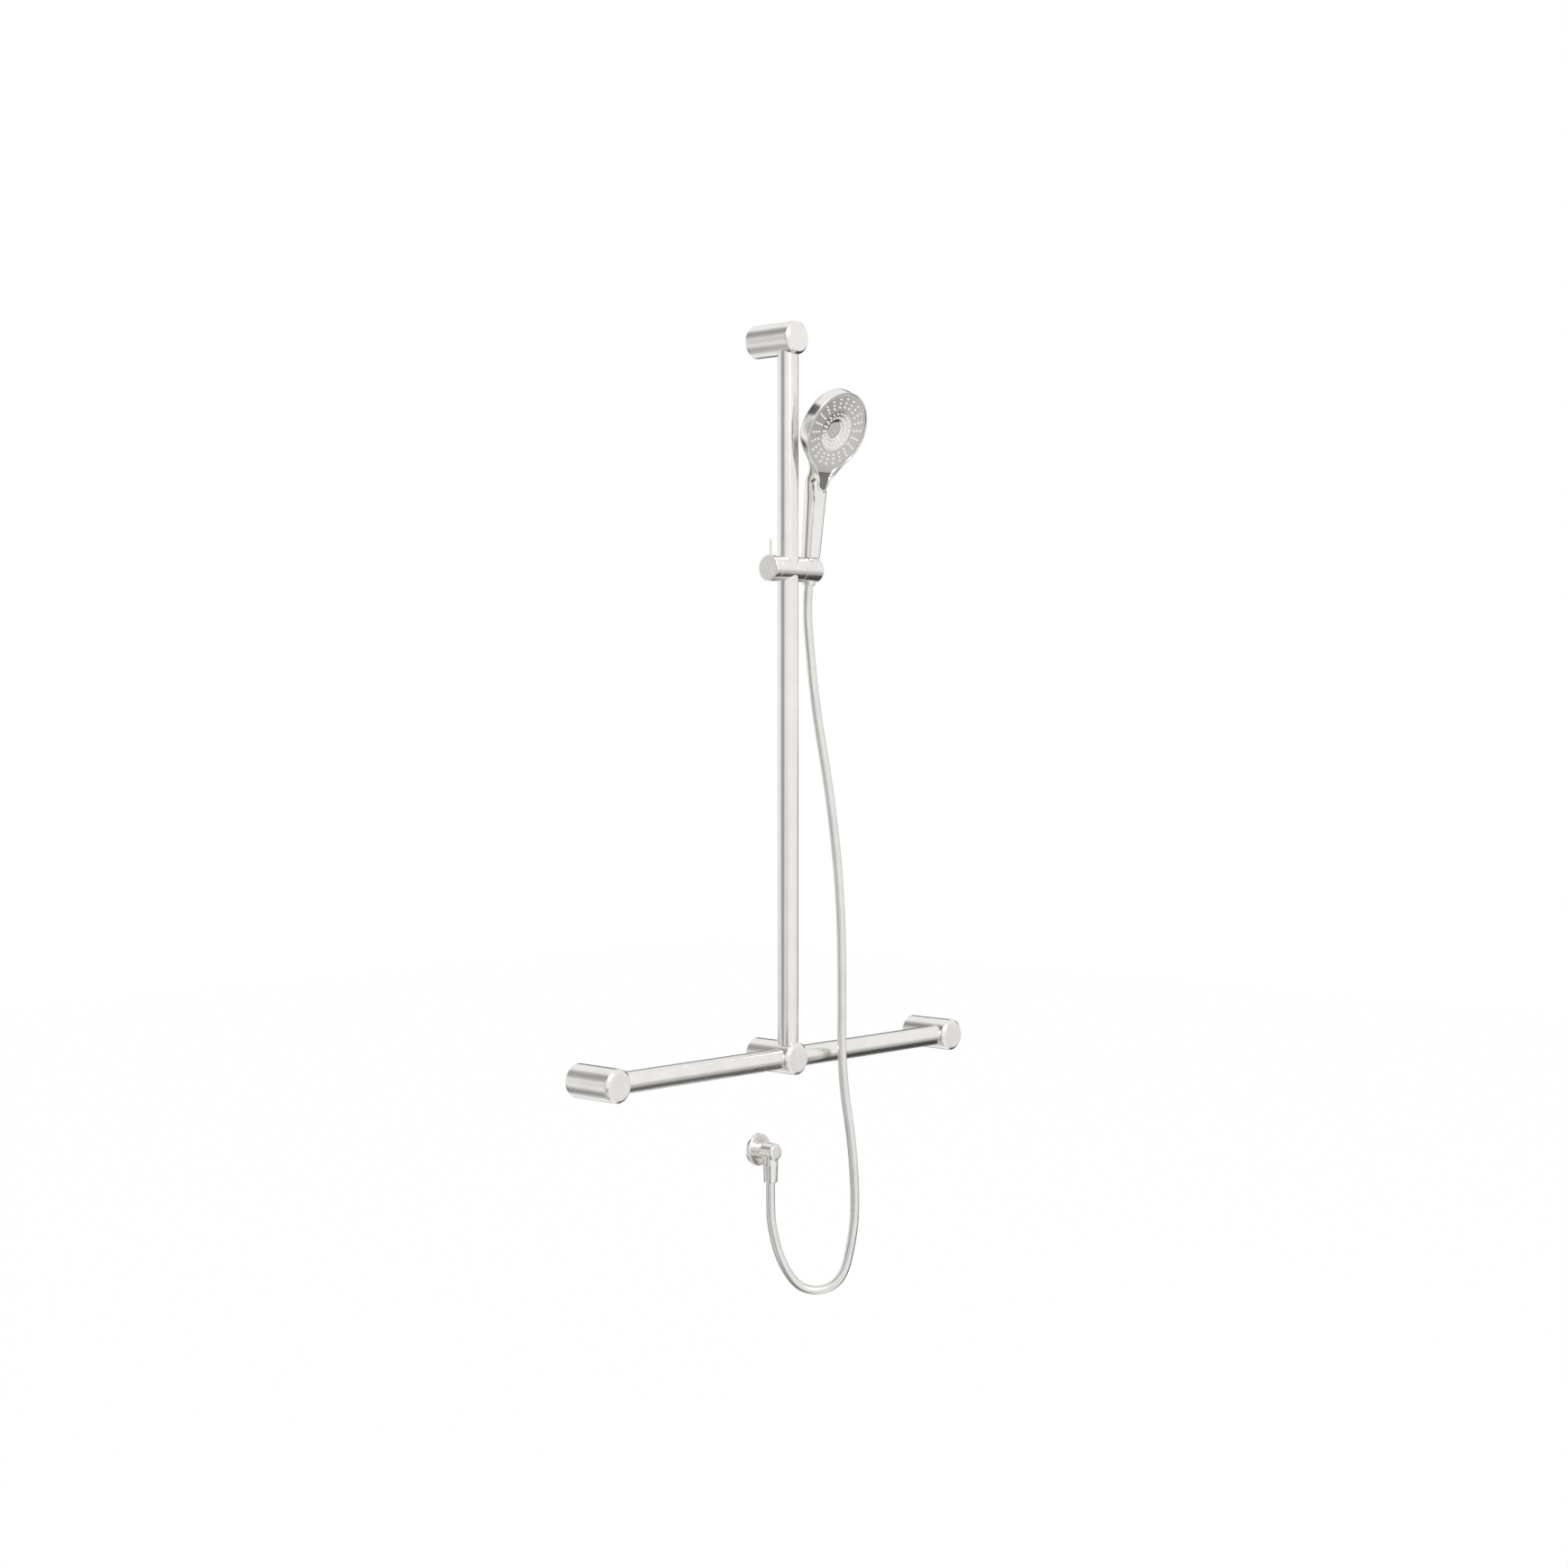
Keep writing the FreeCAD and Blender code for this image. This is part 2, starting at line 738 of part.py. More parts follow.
def section(middle_y, middle_z, lean, width, front, back, front_square, back_square):
    """Closed curve across the handset: rounded, with its own depth and squareness in front and behind."""
    out = V(0, -cos(radians(lean)), -sin(radians(lean)))
    points = []
    for k in range(section_points):
        angle = 2 * pi * k / section_points
        c, s = cos(angle), sin(angle)
        reach, square = (front, front_square) if s > 0 else (-back, back_square)
        across = width * abs(c) ** (2 / square) * (1 if c > 0 else -1)
        depth = reach * abs(s) ** (2 / square)
        points.append(V(across, middle_y, middle_z).add(out * depth))
    curve = Part.BSplineCurve()
    curve.interpolate(Points=points, PeriodicFlag=True)
    return Part.Wire(curve.toShape())


def handle_section(z, radius):
    return section(0, z, 0, radius, radius, radius, 2, 2)


def head_section(s, front, back, spine, front_square, back_square, lean):
    """Section at a height s on the face, with its widest line a given depth behind the face."""
    t = radians(head_tilt)
    y = -face_forward - s * sin(t) + spine * cos(t)
    z = face_height + s * cos(t) + spine * sin(t)
    return section(y, z, lean, half_width(s), front, back, front_square, back_square)


def handset_body():
    """Handle and head in one smooth skin, cut flat by the plane of the spray face."""
    r = head_r
    grow = handle_top_r - handle_bottom_r
    straight = face_height - neck_drop - handle_bottom
    wires = []
    for k in range(handle_sections):
        share = k / (handle_sections - 1)
        wires.append(handle_section(handle_bottom + share * straight, handle_bottom_r + share * grow))
    wires += [head_section(s, *sizes) for s, sizes in neck_sections]
    wires += [head_section(share * r, *sizes, head_tilt) for share, sizes in head_sections]
    body = Part.makeLoft(wires, True, False)
    corner, edge = handle_bottom_r, handle_edge
    bevel = turned([(corner - edge, handle_bottom), (corner + edge, handle_bottom),
                    (corner + edge, handle_bottom + 2 * edge)])
    in_front = face_box(2 * r, button_top, 2 * r, 0, 2 * r)
    return in_hand(body.cut(bevel)).cut(on_face(in_front))


def waterway_path():
    end = V(0, waterway_end_depth - face_forward, face_height - waterway_end_drop)
    bend = V(0, 0, face_height - waterway_bend_drop)
    leg = end.sub(bend)
    turn = leg.getAngle(UP)
    trim = waterway_bend_r * tan(turn / 2)
    p, q = bend.sub(UP * trim), bend.add(V(leg).normalize() * trim)
    centre = p.add(V(0, -waterway_bend_r, 0))
    middle = centre.add(V(0, cos(turn / 2), sin(turn / 2)) * waterway_bend_r)
    return Part.Wire([Part.LineSegment(V(0, 0, handle_bottom), p).toShape(),
                      Part.Arc(p, middle, q).toShape(), Part.LineSegment(q, end).toShape()])


def waterway_pipe(radius):
    path = waterway_path()
    section_wire = Part.Wire(Part.makeCircle(radius, V(0, 0, handle_bottom), UP))
    return path.makePipeShell([section_wire], True, False)


def handset_shell():
    """Plated shell: open face with a ledge, water chamber, handle bore and button pocket."""
    plate_bed = raised(teardrop(0, button_end), -plate_depth, 2 * head_r)
    plate_bed = plate_bed.common(face_box(2 * head_r, button_top, 2 * head_r, -plate_depth, 2 * head_r))
    pocket = raised(teardrop(pocket_inset, button_end), -pocket_depth, 2 * head_r)
    deep = pocket.common(face_box(2 * head_r, button_step, button_top, -pocket_depth, 2 * head_r))
    tail = pocket.common(face_box(2 * head_r, -2 * head_r, button_step, -tail_pocket_depth, 2 * head_r))
    chamber = rod(chamber_r, chamber_depth, V(0, 0, -chamber_depth), UP)
    well = rod(well_r, well_depth, V(0, well_s, -well_depth), UP)
    spool = rod(spool_r + 2 * running_gap, spool_reach, V(0, spool_s, -spool_reach), UP)
    bore = in_hand(waterway_pipe(waterway_r + running_gap))
    flange = in_hand(rod(waterway_flange_r + running_gap, waterway_flange, V(0, 0, handle_bottom), UP))
    cuts = [on_face(c) for c in (plate_bed, deep, tail, chamber, well, spool)]
    return handset_body().cut(cuts + [bore, flange])


def handset_waterway():
    """Inner pipe with its flange and threaded inlet, pierced for the selector spool."""
    pipe = waterway_pipe(waterway_r)
    flange = rod(waterway_flange_r, waterway_flange, V(0, 0, handle_bottom), UP)
    inlet = rod(inlet_r, inlet_depth, V(0, 0, handle_bottom - inlet_depth), UP)
    bore = waterway_pipe(waterway_bore_r)
    inlet_bore = rod(waterway_bore_r, inlet_depth, V(0, 0, handle_bottom - inlet_depth), UP)
    body = in_hand(pipe.fuse([flange, inlet]).removeSplitter().cut([bore, inlet_bore]))
    depth = (face_forward + spool_s * sin(radians(head_tilt))) / cos(radians(head_tilt))
    side_hole = rod(spool_r + 2 * running_gap, depth, V(0, spool_s, -depth), UP)
    return body.cut(on_face(side_hole))


def inlet_washer():
    low = handle_bottom - inlet_depth - inlet_washer_thickness
    return in_hand(tube(inlet_r, washer_bore_r, inlet_washer_thickness, V(0, 0, low), UP))


def cone_nut():
    """Conical hose nut that carries the handset and seats in the holder."""
    floor = handle_bottom - inlet_depth - inlet_washer_thickness - running_gap
    bore = inlet_r + running_gap
    edge = cone_edge
    high, low = cone_top - edge, cone_bottom + edge
    return in_hand(turned([
        (bore, floor), (bore, cone_top), (cone_top_r - edge, cone_top), (cone_radius(high), high),
        (cone_radius(low), low), (cone_bottom_r - edge, cone_bottom),
        (nut_bore_r, cone_bottom), (nut_bore_r, floor)]))


# Spray face: dished plate, nozzles and centre pieces, in the plane of the face

def dish_level(r):
    """Height of the plate at a radius: flat rim, shallow dish, then a steeper funnel."""
    dish_share = (dish_r - r) / (dish_r - funnel_r)
    funnel_share = (funnel_r - r) / (funnel_r - ring_r)
    fall = dish_depth * min(max(dish_share, 0), 1) + funnel_depth * min(max(funnel_share, 0), 1)
    return -plate_recess - fall


def nozzle_places():
    outer = [dish_r - nozzle_row_inset - row * nozzle_row_pitch for row in range(nozzle_rows)]
    inner = [nozzle_inner_r + row * nozzle_row_pitch for row in range(nozzle_inner_rows)]
    for k in range(nozzle_spokes):
        angle = radians(nozzle_turn) + 2 * pi * k / nozzle_spokes
        for r in outer + inner:
            yield r, V(r * cos(angle), r * sin(angle), 0)


def spray_plate():
    plate = raised(teardrop(plate_gap, button_end), -plate_depth, -plate_recess)
    plate = plate.common(face_box(2 * head_r, button_top + plate_gap, 2 * head_r, -plate_depth, 0))
    low = dish_level(ring_r)
    dish = turned([(0, low), (ring_r, low), (funnel_r, dish_level(funnel_r)), (dish_r, -plate_recess),
                   (dish_r, 0), (0, 0)])
    centre = rod(ring_r + plate_gap, plate_depth, V(0, 0, -plate_depth), UP)
    half = seal_section_r + running_gap
    groove = tube(seal_ring_r + half, seal_ring_r - half, 2 * half, V(0, 0, -plate_depth), UP)
    holes = [rod(nozzle_r + nozzle_gap, plate_depth, at + V(0, 0, -plate_depth), UP)
             for r, at in nozzle_places()]
    return on_face(plate.cut([dish, centre, groove] + holes))


def nozzle_mat():
    """Silicone mat behind the plate, with its nozzles standing through the holes."""
    mat = rod(mat_r, mat_thickness, V(0, 0, -plate_depth - mat_thickness), UP)
    root = -plate_depth - mat_thickness / 2
    nozzles = []
    for r, at in nozzle_places():
        tip = dish_level(r) + nozzle_height
        shoulder = tip - nozzle_height / 2
        nozzles.append(turned([(0, root), (nozzle_r, root), (nozzle_r, shoulder), (nozzle_tip_r, tip),
                               (0, tip)], at))
    return on_face(mat.fuse(nozzles).removeSplitter())


def centre_ring():
    top = dish_level(ring_r)
    inner = disc_r + plate_gap
    return on_face(turned([(inner, -plate_depth), (ring_r, -plate_depth), (ring_r, top),
                           (inner, top - ring_drop)]))


def centre_disc():
    top = dish_level(ring_r) - ring_drop
    return on_face(turned([(0, -plate_depth), (disc_r, -plate_depth), (disc_r, top), (dimple_r, top),
                           (dimple_r, top - dimple_depth), (0, top - dimple_depth)]))


def face_seal():
    middle = -plate_depth + seal_section_r + running_gap
    return on_face(Part.makeTorus(seal_ring_r, seal_section_r, V(0, 0, middle), UP))


# Mode button at the neck

def mode_button():
    """Teardrop button: flush with the face above, following the handle's front below."""
    far, low = 2 * head_r, button_step + button_gap
    stem = raised(teardrop(pocket_inset + button_gap, button_end), button_foot(), far)
    upper = stem.common(face_box(far, low, button_top - button_gap, -plate_depth, far))
    lower = stem.common(face_box(far, -far, low, button_travel - tail_pocket_depth + plate_gap, far))
    body = upper.fuse(lower).removeSplitter()
    steepness = (button_slope_end - button_rise) / (button_top - button_end)
    slope = [V(far, button_top, button_rise), V(far, -far, button_rise + steepness * (far + button_top)),
             V(far, -far, 2 * far), V(far, button_top, 2 * far)]
    over = Part.Face(Part.makePolygon(slope + slope[:1])).extrude(V(-2 * far, 0, 0))
    return on_face(body.cut(over))


def button_foot():
    return button_travel - pocket_depth + plate_gap


def selector_spool():
    return on_face(rod(spool_r, spool_reach + button_foot(), V(0, spool_s, -spool_reach), UP))


def return_dome():
    low, high = -pocket_depth, button_foot()
    w = dome_wall
    return on_face(turned([(dome_r - w, low), (dome_r, low), (dome_top_r, high), (dome_top_r - w, high)],
                          V(0, spool_s, 0)))


def add_handset():
    nodes["handset_shell"] = handset_shell()
    nodes["handset_waterway"] = handset_waterway()
    nodes["handset_inlet_washer"] = inlet_washer()
    nodes["hose_cone_nut"] = cone_nut()
    nodes["spray_plate"] = spray_plate()
    nodes["nozzle_mat"] = nozzle_mat()
    nodes["spray_centre_ring"] = centre_ring()
    nodes["spray_centre_disc"] = centre_disc()
    nodes["face_seal"] = face_seal()
    nodes["mode_button"] = mode_button()
    nodes["selector_spool"] = selector_spool()
    nodes["button_return_dome"] = return_dome()


def main():
    add_rails()
    add_outlet()
    add_slider()
    add_holder()
    add_handset()
    os.makedirs("parts", exist_ok=True)
    for name, shape in nodes.items():
        shape.exportStep("parts/" + name + ".step")


main()
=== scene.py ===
import json
from math import asin, cos, pi, radians, sin, sqrt, tan

import bmesh
import bpy
import numpy as np
from mathutils import Matrix, Vector
from mathutils.bvhtree import BVHTree


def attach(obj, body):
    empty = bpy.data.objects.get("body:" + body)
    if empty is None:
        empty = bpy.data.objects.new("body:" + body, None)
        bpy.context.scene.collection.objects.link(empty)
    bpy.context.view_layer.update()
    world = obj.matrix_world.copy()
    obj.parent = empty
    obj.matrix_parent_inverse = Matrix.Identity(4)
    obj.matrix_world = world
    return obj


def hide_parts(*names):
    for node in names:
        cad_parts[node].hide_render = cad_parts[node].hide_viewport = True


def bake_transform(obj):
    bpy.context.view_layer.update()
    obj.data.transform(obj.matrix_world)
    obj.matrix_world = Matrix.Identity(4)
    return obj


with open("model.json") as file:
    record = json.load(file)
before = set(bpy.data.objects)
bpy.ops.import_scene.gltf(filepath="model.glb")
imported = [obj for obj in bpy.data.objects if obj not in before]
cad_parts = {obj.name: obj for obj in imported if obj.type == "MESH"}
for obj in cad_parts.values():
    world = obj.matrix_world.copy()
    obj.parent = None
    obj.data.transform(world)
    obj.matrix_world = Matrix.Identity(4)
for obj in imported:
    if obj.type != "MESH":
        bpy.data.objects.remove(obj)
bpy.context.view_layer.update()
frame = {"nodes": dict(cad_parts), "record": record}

# Sizes in millimetres, as in the model
MM = 0.001
rail_r = 16.0
rail_wall = 1.5
rail_y = -66.0
riser_foot = 18.5
riser_height = 1100.0
post_span = 375.0
rail_overrun = 8.0
bore_gap = 0.05
tool_reach = 5.0
overlap = 0.01
post_r = 25.0
post_length = 88.0
post_chamfer = 4.0
post_cavity = 24.0
plate_bore_r = 21.1
grub_hole_r = 2.55
grub_from_wall = 7.0

# Wall outlet and the hose nut on its leg
outlet_z = -150.0
flange_r = 25.0
flange_bore_r = 13.05
flange_thickness = 7.0
flange_edge = 1.5
elbow_r = 13.0
elbow_length = 42.0
elbow_round = 3.0
elbow_bore_r = 9.3
elbow_bore_depth = 13.0
leg_y = -29.0
leg_r = 10.4
leg_shoulder = 18.0
leg_length = 32.0
thread_r = 9.5
nut_drop = 15.0
nut_length = 33.0
nut_top_r = 11.9
nut_end_r = 10.6
nut_end_edge = 1.5
nut_seat = 19.0
nut_hole_r = 6.5
hose_r = 7.0

# Slider with its clamp knob and pin
slider_z = 750.0
barrel_r = 19.0
body_left = -31.0
body_right = 24.0
spigot_r = 9.0
spigot_length = 5.5
slider_bore_r = 16.35
bore_reach = 30.0
groove_r = 17.2
groove_half = 5.05
stud_bore_r = 4.05
stud_bore_start = -33.0
pad_bore_r = 5.05
pad_bore_start = -20.45
bolt_bore_r = 3.05
bolt_bore_start = 17.5
bolt_bore_length = 20.0
knob_r = 19.5
knob_thickness = 13.6
knob_right = -31.4
knob_back_edge = 0.4
knob_front_edge = 0.8
knob_bore_r = 4.0
knob_bore_depth = 9.0
pin_r = 1.75
pin_root = 8.0
pin_top = 44.5
pin_tip = 1.0

# Holder with its cone socket, and the cone nut in it
holder_left = 24.4
holder_right = 62.0
holder_round = 1.5
washer_bore_r = 15.05
washer_bore_depth = 1.05
bolt_head_seat = 7.85
bolt_head_r = 5.55
bolt_head_end = 24.85
socket_x = 49.0
socket_reach = 40.0
hose_slot = 15.6
slot_reach = 20.0
cone_top_r = 12.9
cone_bottom_r = 10.0
cone_top = 18.8
cone_bottom = -23.0
cone_nut_edge = 0.8
cone_nut_bore_r = 9.55
cone_nut_shoulder = 2.45
cone_nut_mouth_r = 6.0
seat_gap = 0.15
rest_tilt = 5.8

# Handset: handle, head and face
handle_bottom = 19.3
handle_bottom_r = 14.3
handle_edge = 1.0
handle_shares = (0, 0.25, 0.5, 0.75, 1)
inlet_r = 11.05
inlet_depth = 2.0
handle_top_r = 16.6
face_forward = 35.8
face_height = 213.2
head_tilt = 17.5
head_r = 62.5
neck_blend_r = 95.0
neck_drop = 103.0
rim_width = 2.2
rim_lip = 1.2
rim_lip_height = 1.0
rim_lip_points = 16
button_lip = 2.0
lip_clear = 0.2
lip_turn_start = 1.0
lip_turn_length = 6.0
lip_drop_from = 60.0
bed_depth = 9.0
plate_gap = 0.15
plate_points = 288
plate_skirt = 8.0
plate_tail_r = 10.0
plate_blend_r = 40.0
plate_recess = 0.6
dish_r = 56.0
dish_depth = 1.8
funnel_r = 31.5
funnel_depth = 3.6
ring_r = 17.5
disc_r = 13.0
ring_drop = 1.1
centre_depth = 9.0
dimple_r = 1.2
dimple_depth = 0.8
nozzle_spokes = 22
nozzle_turn = 5.5
nozzle_rows = (20.5, 27.1, 38.3, 44.9, 51.5)
nozzle_r = 1.55
nozzle_height = 1.5
nozzle_root = 2.5
nozzle_bore_r = 0.3
nozzle_points = 16
button_top = -67.0
button_step = -82.0
button_end = -84.0
pocket_inset = 2.2
pocket_depth = 5.2
pocket_tail_depth = 0.5
button_gap = 0.3
button_rise = 0.5
button_slope_end = 5.2
button_low = -2.55
button_tail_low = 2.15
button_soft = 0.7

# Share of the way from the dish to the plate's edge, and the height there
plate_rim = [(0.35, 0.0), (0.7, 0.0), (0.94, 0.0), (0.985, -0.12), (1.0, -0.5), (1.0, -5.0)]

# Height along the face and depth of the slope beside the button
shoulder_line = [
    (-67.0, 0.0),
    (-70.0, 0.5),
    (-74.0, 1.6),
    (-78.0, 3.0),
    (-81.0, 4.4),
    (-84.0, 6.6),
    (-87.0, 11.0),
]
shoulder_run = 3.0

# Sections of the neck and head: place along the face, then front, back, spine, squareness and lean
section_points = 144
neck_sections = [
    (-82.0, (15.0, 15.5, 9.0, 2.1, 2.0, 4.0)),
    (-64.0, (17.0, 19.0, 2.6, 2.1, 1.75, 9.0)),
    (-50.0, (20.0, 20.5, 3.2, 2.1, 1.62, 13.0)),
    (-36.0, (24.0, 16.0, 7.5, 2.4, 2.2, 16.0)),
]
head_sections = [
    (-0.36, (28.0, 15.5, 10.5, 3.2, 3.0)),
    (0.0, (30.0, 15.0, 11.0, 3.8, 3.8)),
    (0.4, (30.0, 14.5, 11.0, 4.0, 4.0)),
    (0.7, (28.0, 13.5, 11.0, 4.0, 4.0)),
    (0.88, (24.0, 12.0, 11.0, 3.8, 3.8)),
    (0.96, (20.0, 10.5, 11.0, 3.4, 3.4)),
    (0.99, (16.0, 9.0, 11.0, 3.0, 3.0)),
    (0.998, (13.0, 7.5, 11.0, 2.6, 2.6)),
]
section_steps = [6, 6, 6, 8, 14, 14, 10, 10, 10, 14, 14, 14, 12, 8, 6, 4]
crown_rise = (0, -0.1, 0.25)

# Hose route from the outlet nut to the cone nut
hose_route = [
    (0.0, -29.0, -198.0),
    (0.0, -29.0, -230.0),
    (0.6, -29.6, -262.4),
    (10.3, -37.6, -316.1),
    (28.6, -53.0, -357.7),
    (48.8, -70.0, -370.6),
    (71.1, -88.7, -366.5),
    (87.8, -102.7, -346.9),
    (97.1, -110.4, -298.4),
    (102.4, -115.0, -241.4),
    (98.0, -111.5, -140.0),
    (88.5, -97.4, -30.0),
    (88.0, -98.9, 110.0),
    (86.0, -97.0, 250.0),
    (75.0, -86.1, 400.0),
    (57.5, -70.0, 540.0),
    (50.0, -64.1, 640.0),
    (49.0, -60.04, 691.30),
    (49.0, -63.68, 727.12),
]
hose_points = 40

# Where the hose is parted: length of its leg, then heights as it rises
hose_leg = 88.0
hose_splits = (-300.0, 549.0, 638.0)

# Share of the slider's movement that the loop takes, even over so long a way
loop_share = 0.2
loop_even = 1e6

# Parts of the room that the metal mirrors: direction, inner and outer half angle, and how much darker
room_zones = [
    ((-0.95, 0.31, 0.0), 6, 34, 0.62),
    ((-0.45, 0.68, 0.58), 6, 26, 0.6),
    ((-0.3, 0.68, -0.67), 8, 28, 0.4),
    ((0.83, -0.06, -0.55), 16, 29, 0.95),
    ((0.74, -0.5, -0.46), 10, 24, 0.42),
    ((0.84, 0.53, -0.05), 22, 36, 0.92),
    ((-0.2, 0.89, -0.41), 8, 22, 0.9),
    ((-0.55, 0.45, 0.7), 6, 16, 0.8),
    ((-0.8, -0.48, -0.36), 6, 20, 0.75),
    ((-0.5, 0.0, -0.87), 15, 35, 0.85),
]

# Floor, light and camera
floor_half = 6000.0
floor_level = -620.0
floor_glow = 0.97
key_at = (-1.2, -2.6, 2.6)
key_aim = (0, 0, 0.5)
key_size = 1.6
key_power = 30
camera_at = (-2.7966, -2.6571, 0.5501)
camera_yaw = 47.092
camera_pitch = -1.9376
camera_sensor = 36.0
camera_lens = 57.14

# Range of a noise value that is spread over tones and roughness
noise_low = 0.3
noise_high = 0.7

RIGHT = (1, 0, 0)
LEFT = (-1, 0, 0)
OUT = (0, -1, 0)
UP = (0, 0, 1)
DOWN = (0, 0, -1)
hand = Matrix.Translation((socket_x, rail_y, slider_z)) @ Matrix.Rotation(radians(rest_tilt), 4, "X")
face = (hand @ Matrix.Translation((0, -face_forward, face_height))
        @ Matrix.Rotation(radians(90 + head_tilt), 4, "X"))

body_of = {n: b for b, nodes in frame["record"]["behaviour"]["bodies"].items() for n in nodes}
slot_of = {s["node"]: s["material_slot"] for s in frame["record"]["subparts"]}
materials = {}


# Materials

def new_material(name, color, roughness, metallic=0.0):
    mat = bpy.data.materials.new(name)
    mat.use_nodes = True
    shader = mat.node_tree.nodes["Principled BSDF"]
    shader.inputs["Base Color"].default_value = (*color, 1)
    shader.inputs["Roughness"].default_value = roughness
    shader.inputs["Metallic"].default_value = metallic
    return mat, shader


def texture(mat, scale, detail, stretch=(1, 1, 1), coords="Object", roughness=0.5):
    """Noise in the piece's own coordinates, or along its brushing."""
    tree = mat.node_tree
    if coords == "brush":
        source = tree.nodes.new("ShaderNodeUVMap")
        source.uv_map = "brush"
        out = source.outputs["UV"]
    else:
        source = tree.nodes.new("ShaderNodeTexCoord")
        out = source.outputs[coords]
    mapping = tree.nodes.new("ShaderNodeMapping")
    mapping.inputs["Scale"].default_value = stretch
    noise = tree.nodes.new("ShaderNodeTexNoise")
    noise.inputs["Scale"].default_value = scale
    noise.inputs["Detail"].default_value = detail
    noise.inputs["Roughness"].default_value = roughness
    tree.links.new(out, mapping.inputs["Vector"])
    tree.links.new(mapping.outputs["Vector"], noise.inputs["Vector"])
    return noise.outputs["Fac"]


def spread(mat, value, low, high, socket):
    """Lead a noise value, spread between two numbers, to a shader socket."""
    tree = mat.node_tree
    node = tree.nodes.new("ShaderNodeMapRange")
    node.inputs["From Min"].default_value = noise_low
    node.inputs["From Max"].default_value = noise_high
    node.inputs["To Min"].default_value = low
    node.inputs["To Max"].default_value = high
    tree.links.new(value, node.inputs["Value"])
    tree.links.new(node.outputs["Result"], socket)


def tones(mat, value, dark, light, socket):
    """Lead a noise value to a colour between two tones."""
    tree = mat.node_tree
    ramp = tree.nodes.new("ShaderNodeValToRGB")
    ramp.color_ramp.elements[0].position = noise_low
    ramp.color_ramp.elements[1].position = noise_high
    ramp.color_ramp.elements[0].color = (*dark, 1)
    ramp.color_ramp.elements[1].color = (*light, 1)
    tree.links.new(value, ramp.inputs["Fac"])
    tree.links.new(ramp.outputs["Color"], socket)


def bump(mat, shader, value, depth, strength):
    tree = mat.node_tree
    node = tree.nodes.new("ShaderNodeBump")
    node.inputs["Strength"].default_value = strength
    node.inputs["Distance"].default_value = depth
    tree.links.new(value, node.inputs["Height"])
    tree.links.new(node.outputs["Normal"], shader.inputs["Normal"])


def brushed(name, dark, light, rough_low, rough_high, lines=2600.0, depth=0.000004):
    """Metal with fine lines along its brushing and a faint cloudiness."""
    mat, shader = new_material(name, light, rough_low, 1.0)
    streaks = texture(mat, scale=1.0, detail=5.0, stretch=(35.0, lines, 1.0), coords="brush", roughness=0.65)
    clouds = texture(mat, scale=28.0, detail=3.0)
    tones(mat, clouds, dark, light, shader.inputs["Base Color"])
    spread(mat, streaks, rough_low, rough_high, shader.inputs["Roughness"])
    bump(mat, shader, streaks, depth, strength=0.35)
    shader.inputs["Anisotropic"].default_value = 0.3
    tangent = mat.node_tree.nodes.new("ShaderNodeTangent")
    tangent.direction_type = "UV_MAP"
    tangent.uv_map = "brush"
    mat.node_tree.links.new(tangent.outputs["Tangent"], shader.inputs["Tangent"])
    materials[name] = mat


def plain_metal(name, dark, light, rough_low, rough_high):
    """Turned metal of the hidden pieces, with its tool marks left as grain."""
    mat, shader = new_material(name, light, rough_low, 1.0)
    grain = texture(mat, scale=900.0, detail=4.0)
    clouds = texture(mat, scale=60.0, detail=3.0)
    tones(mat, clouds, dark, light, shader.inputs["Base Color"])
    spread(mat, grain, rough_low, rough_high, shader.inputs["Roughness"])
    bump(mat, shader, grain, depth=0.000008, strength=0.3)
    materials[name] = mat


def moulded(name, dark, light, rough_low, rough_high, metallic=0.0):
    """Moulded plastic or rubber: a fine grain and a slow change of tone."""
    mat, shader = new_material(name, light, rough_low, metallic)
    grain = texture(mat, scale=1400.0, detail=3.0)
    clouds = texture(mat, scale=45.0, detail=3.0)
    tones(mat, clouds, dark, light, shader.inputs["Base Color"])
    spread(mat, grain, rough_low, rough_high, shader.inputs["Roughness"])
    bump(mat, shader, grain, depth=0.00001, strength=0.35)
    materials[name] = mat


def make_materials():
    nickel = ((0.8, 0.78, 0.75), (0.85, 0.83, 0.8))
    brushed("brushed_nickel", *nickel, 0.17, 0.27)
    brushed("plated_plastic", *nickel, 0.09, 0.15, lines=3000.0, depth=0.000001)
    brushed("hose_skin", (0.74, 0.72, 0.695), (0.8, 0.78, 0.755), 0.22, 0.32)
    plain_metal("screw_steel", (0.45, 0.45, 0.45), (0.55, 0.55, 0.54), 0.25, 0.4)
    plain_metal("plate_steel", (0.5, 0.5, 0.49), (0.6, 0.6, 0.59), 0.3, 0.45)
    moulded("white_plastic", (0.74, 0.74, 0.72), (0.8, 0.8, 0.78), 0.4, 0.5)
    moulded("grey_plastic", (0.74, 0.72, 0.7), (0.78, 0.76, 0.74), 0.18, 0.26, metallic=0.8)
    moulded("white_silicone", (0.86, 0.85, 0.83), (0.9, 0.89, 0.87), 0.45, 0.55)
    moulded("dark_plastic", (0.12, 0.115, 0.11), (0.15, 0.145, 0.14), 0.28, 0.36)
    moulded("black_rubber", (0.025, 0.025, 0.025), (0.04, 0.04, 0.04), 0.6, 0.75)


# Meshes

def in_metres(place):
    """A place given in millimetres, in metres."""
    result = place.copy()
    result.translation = place.translation * MM
    return result


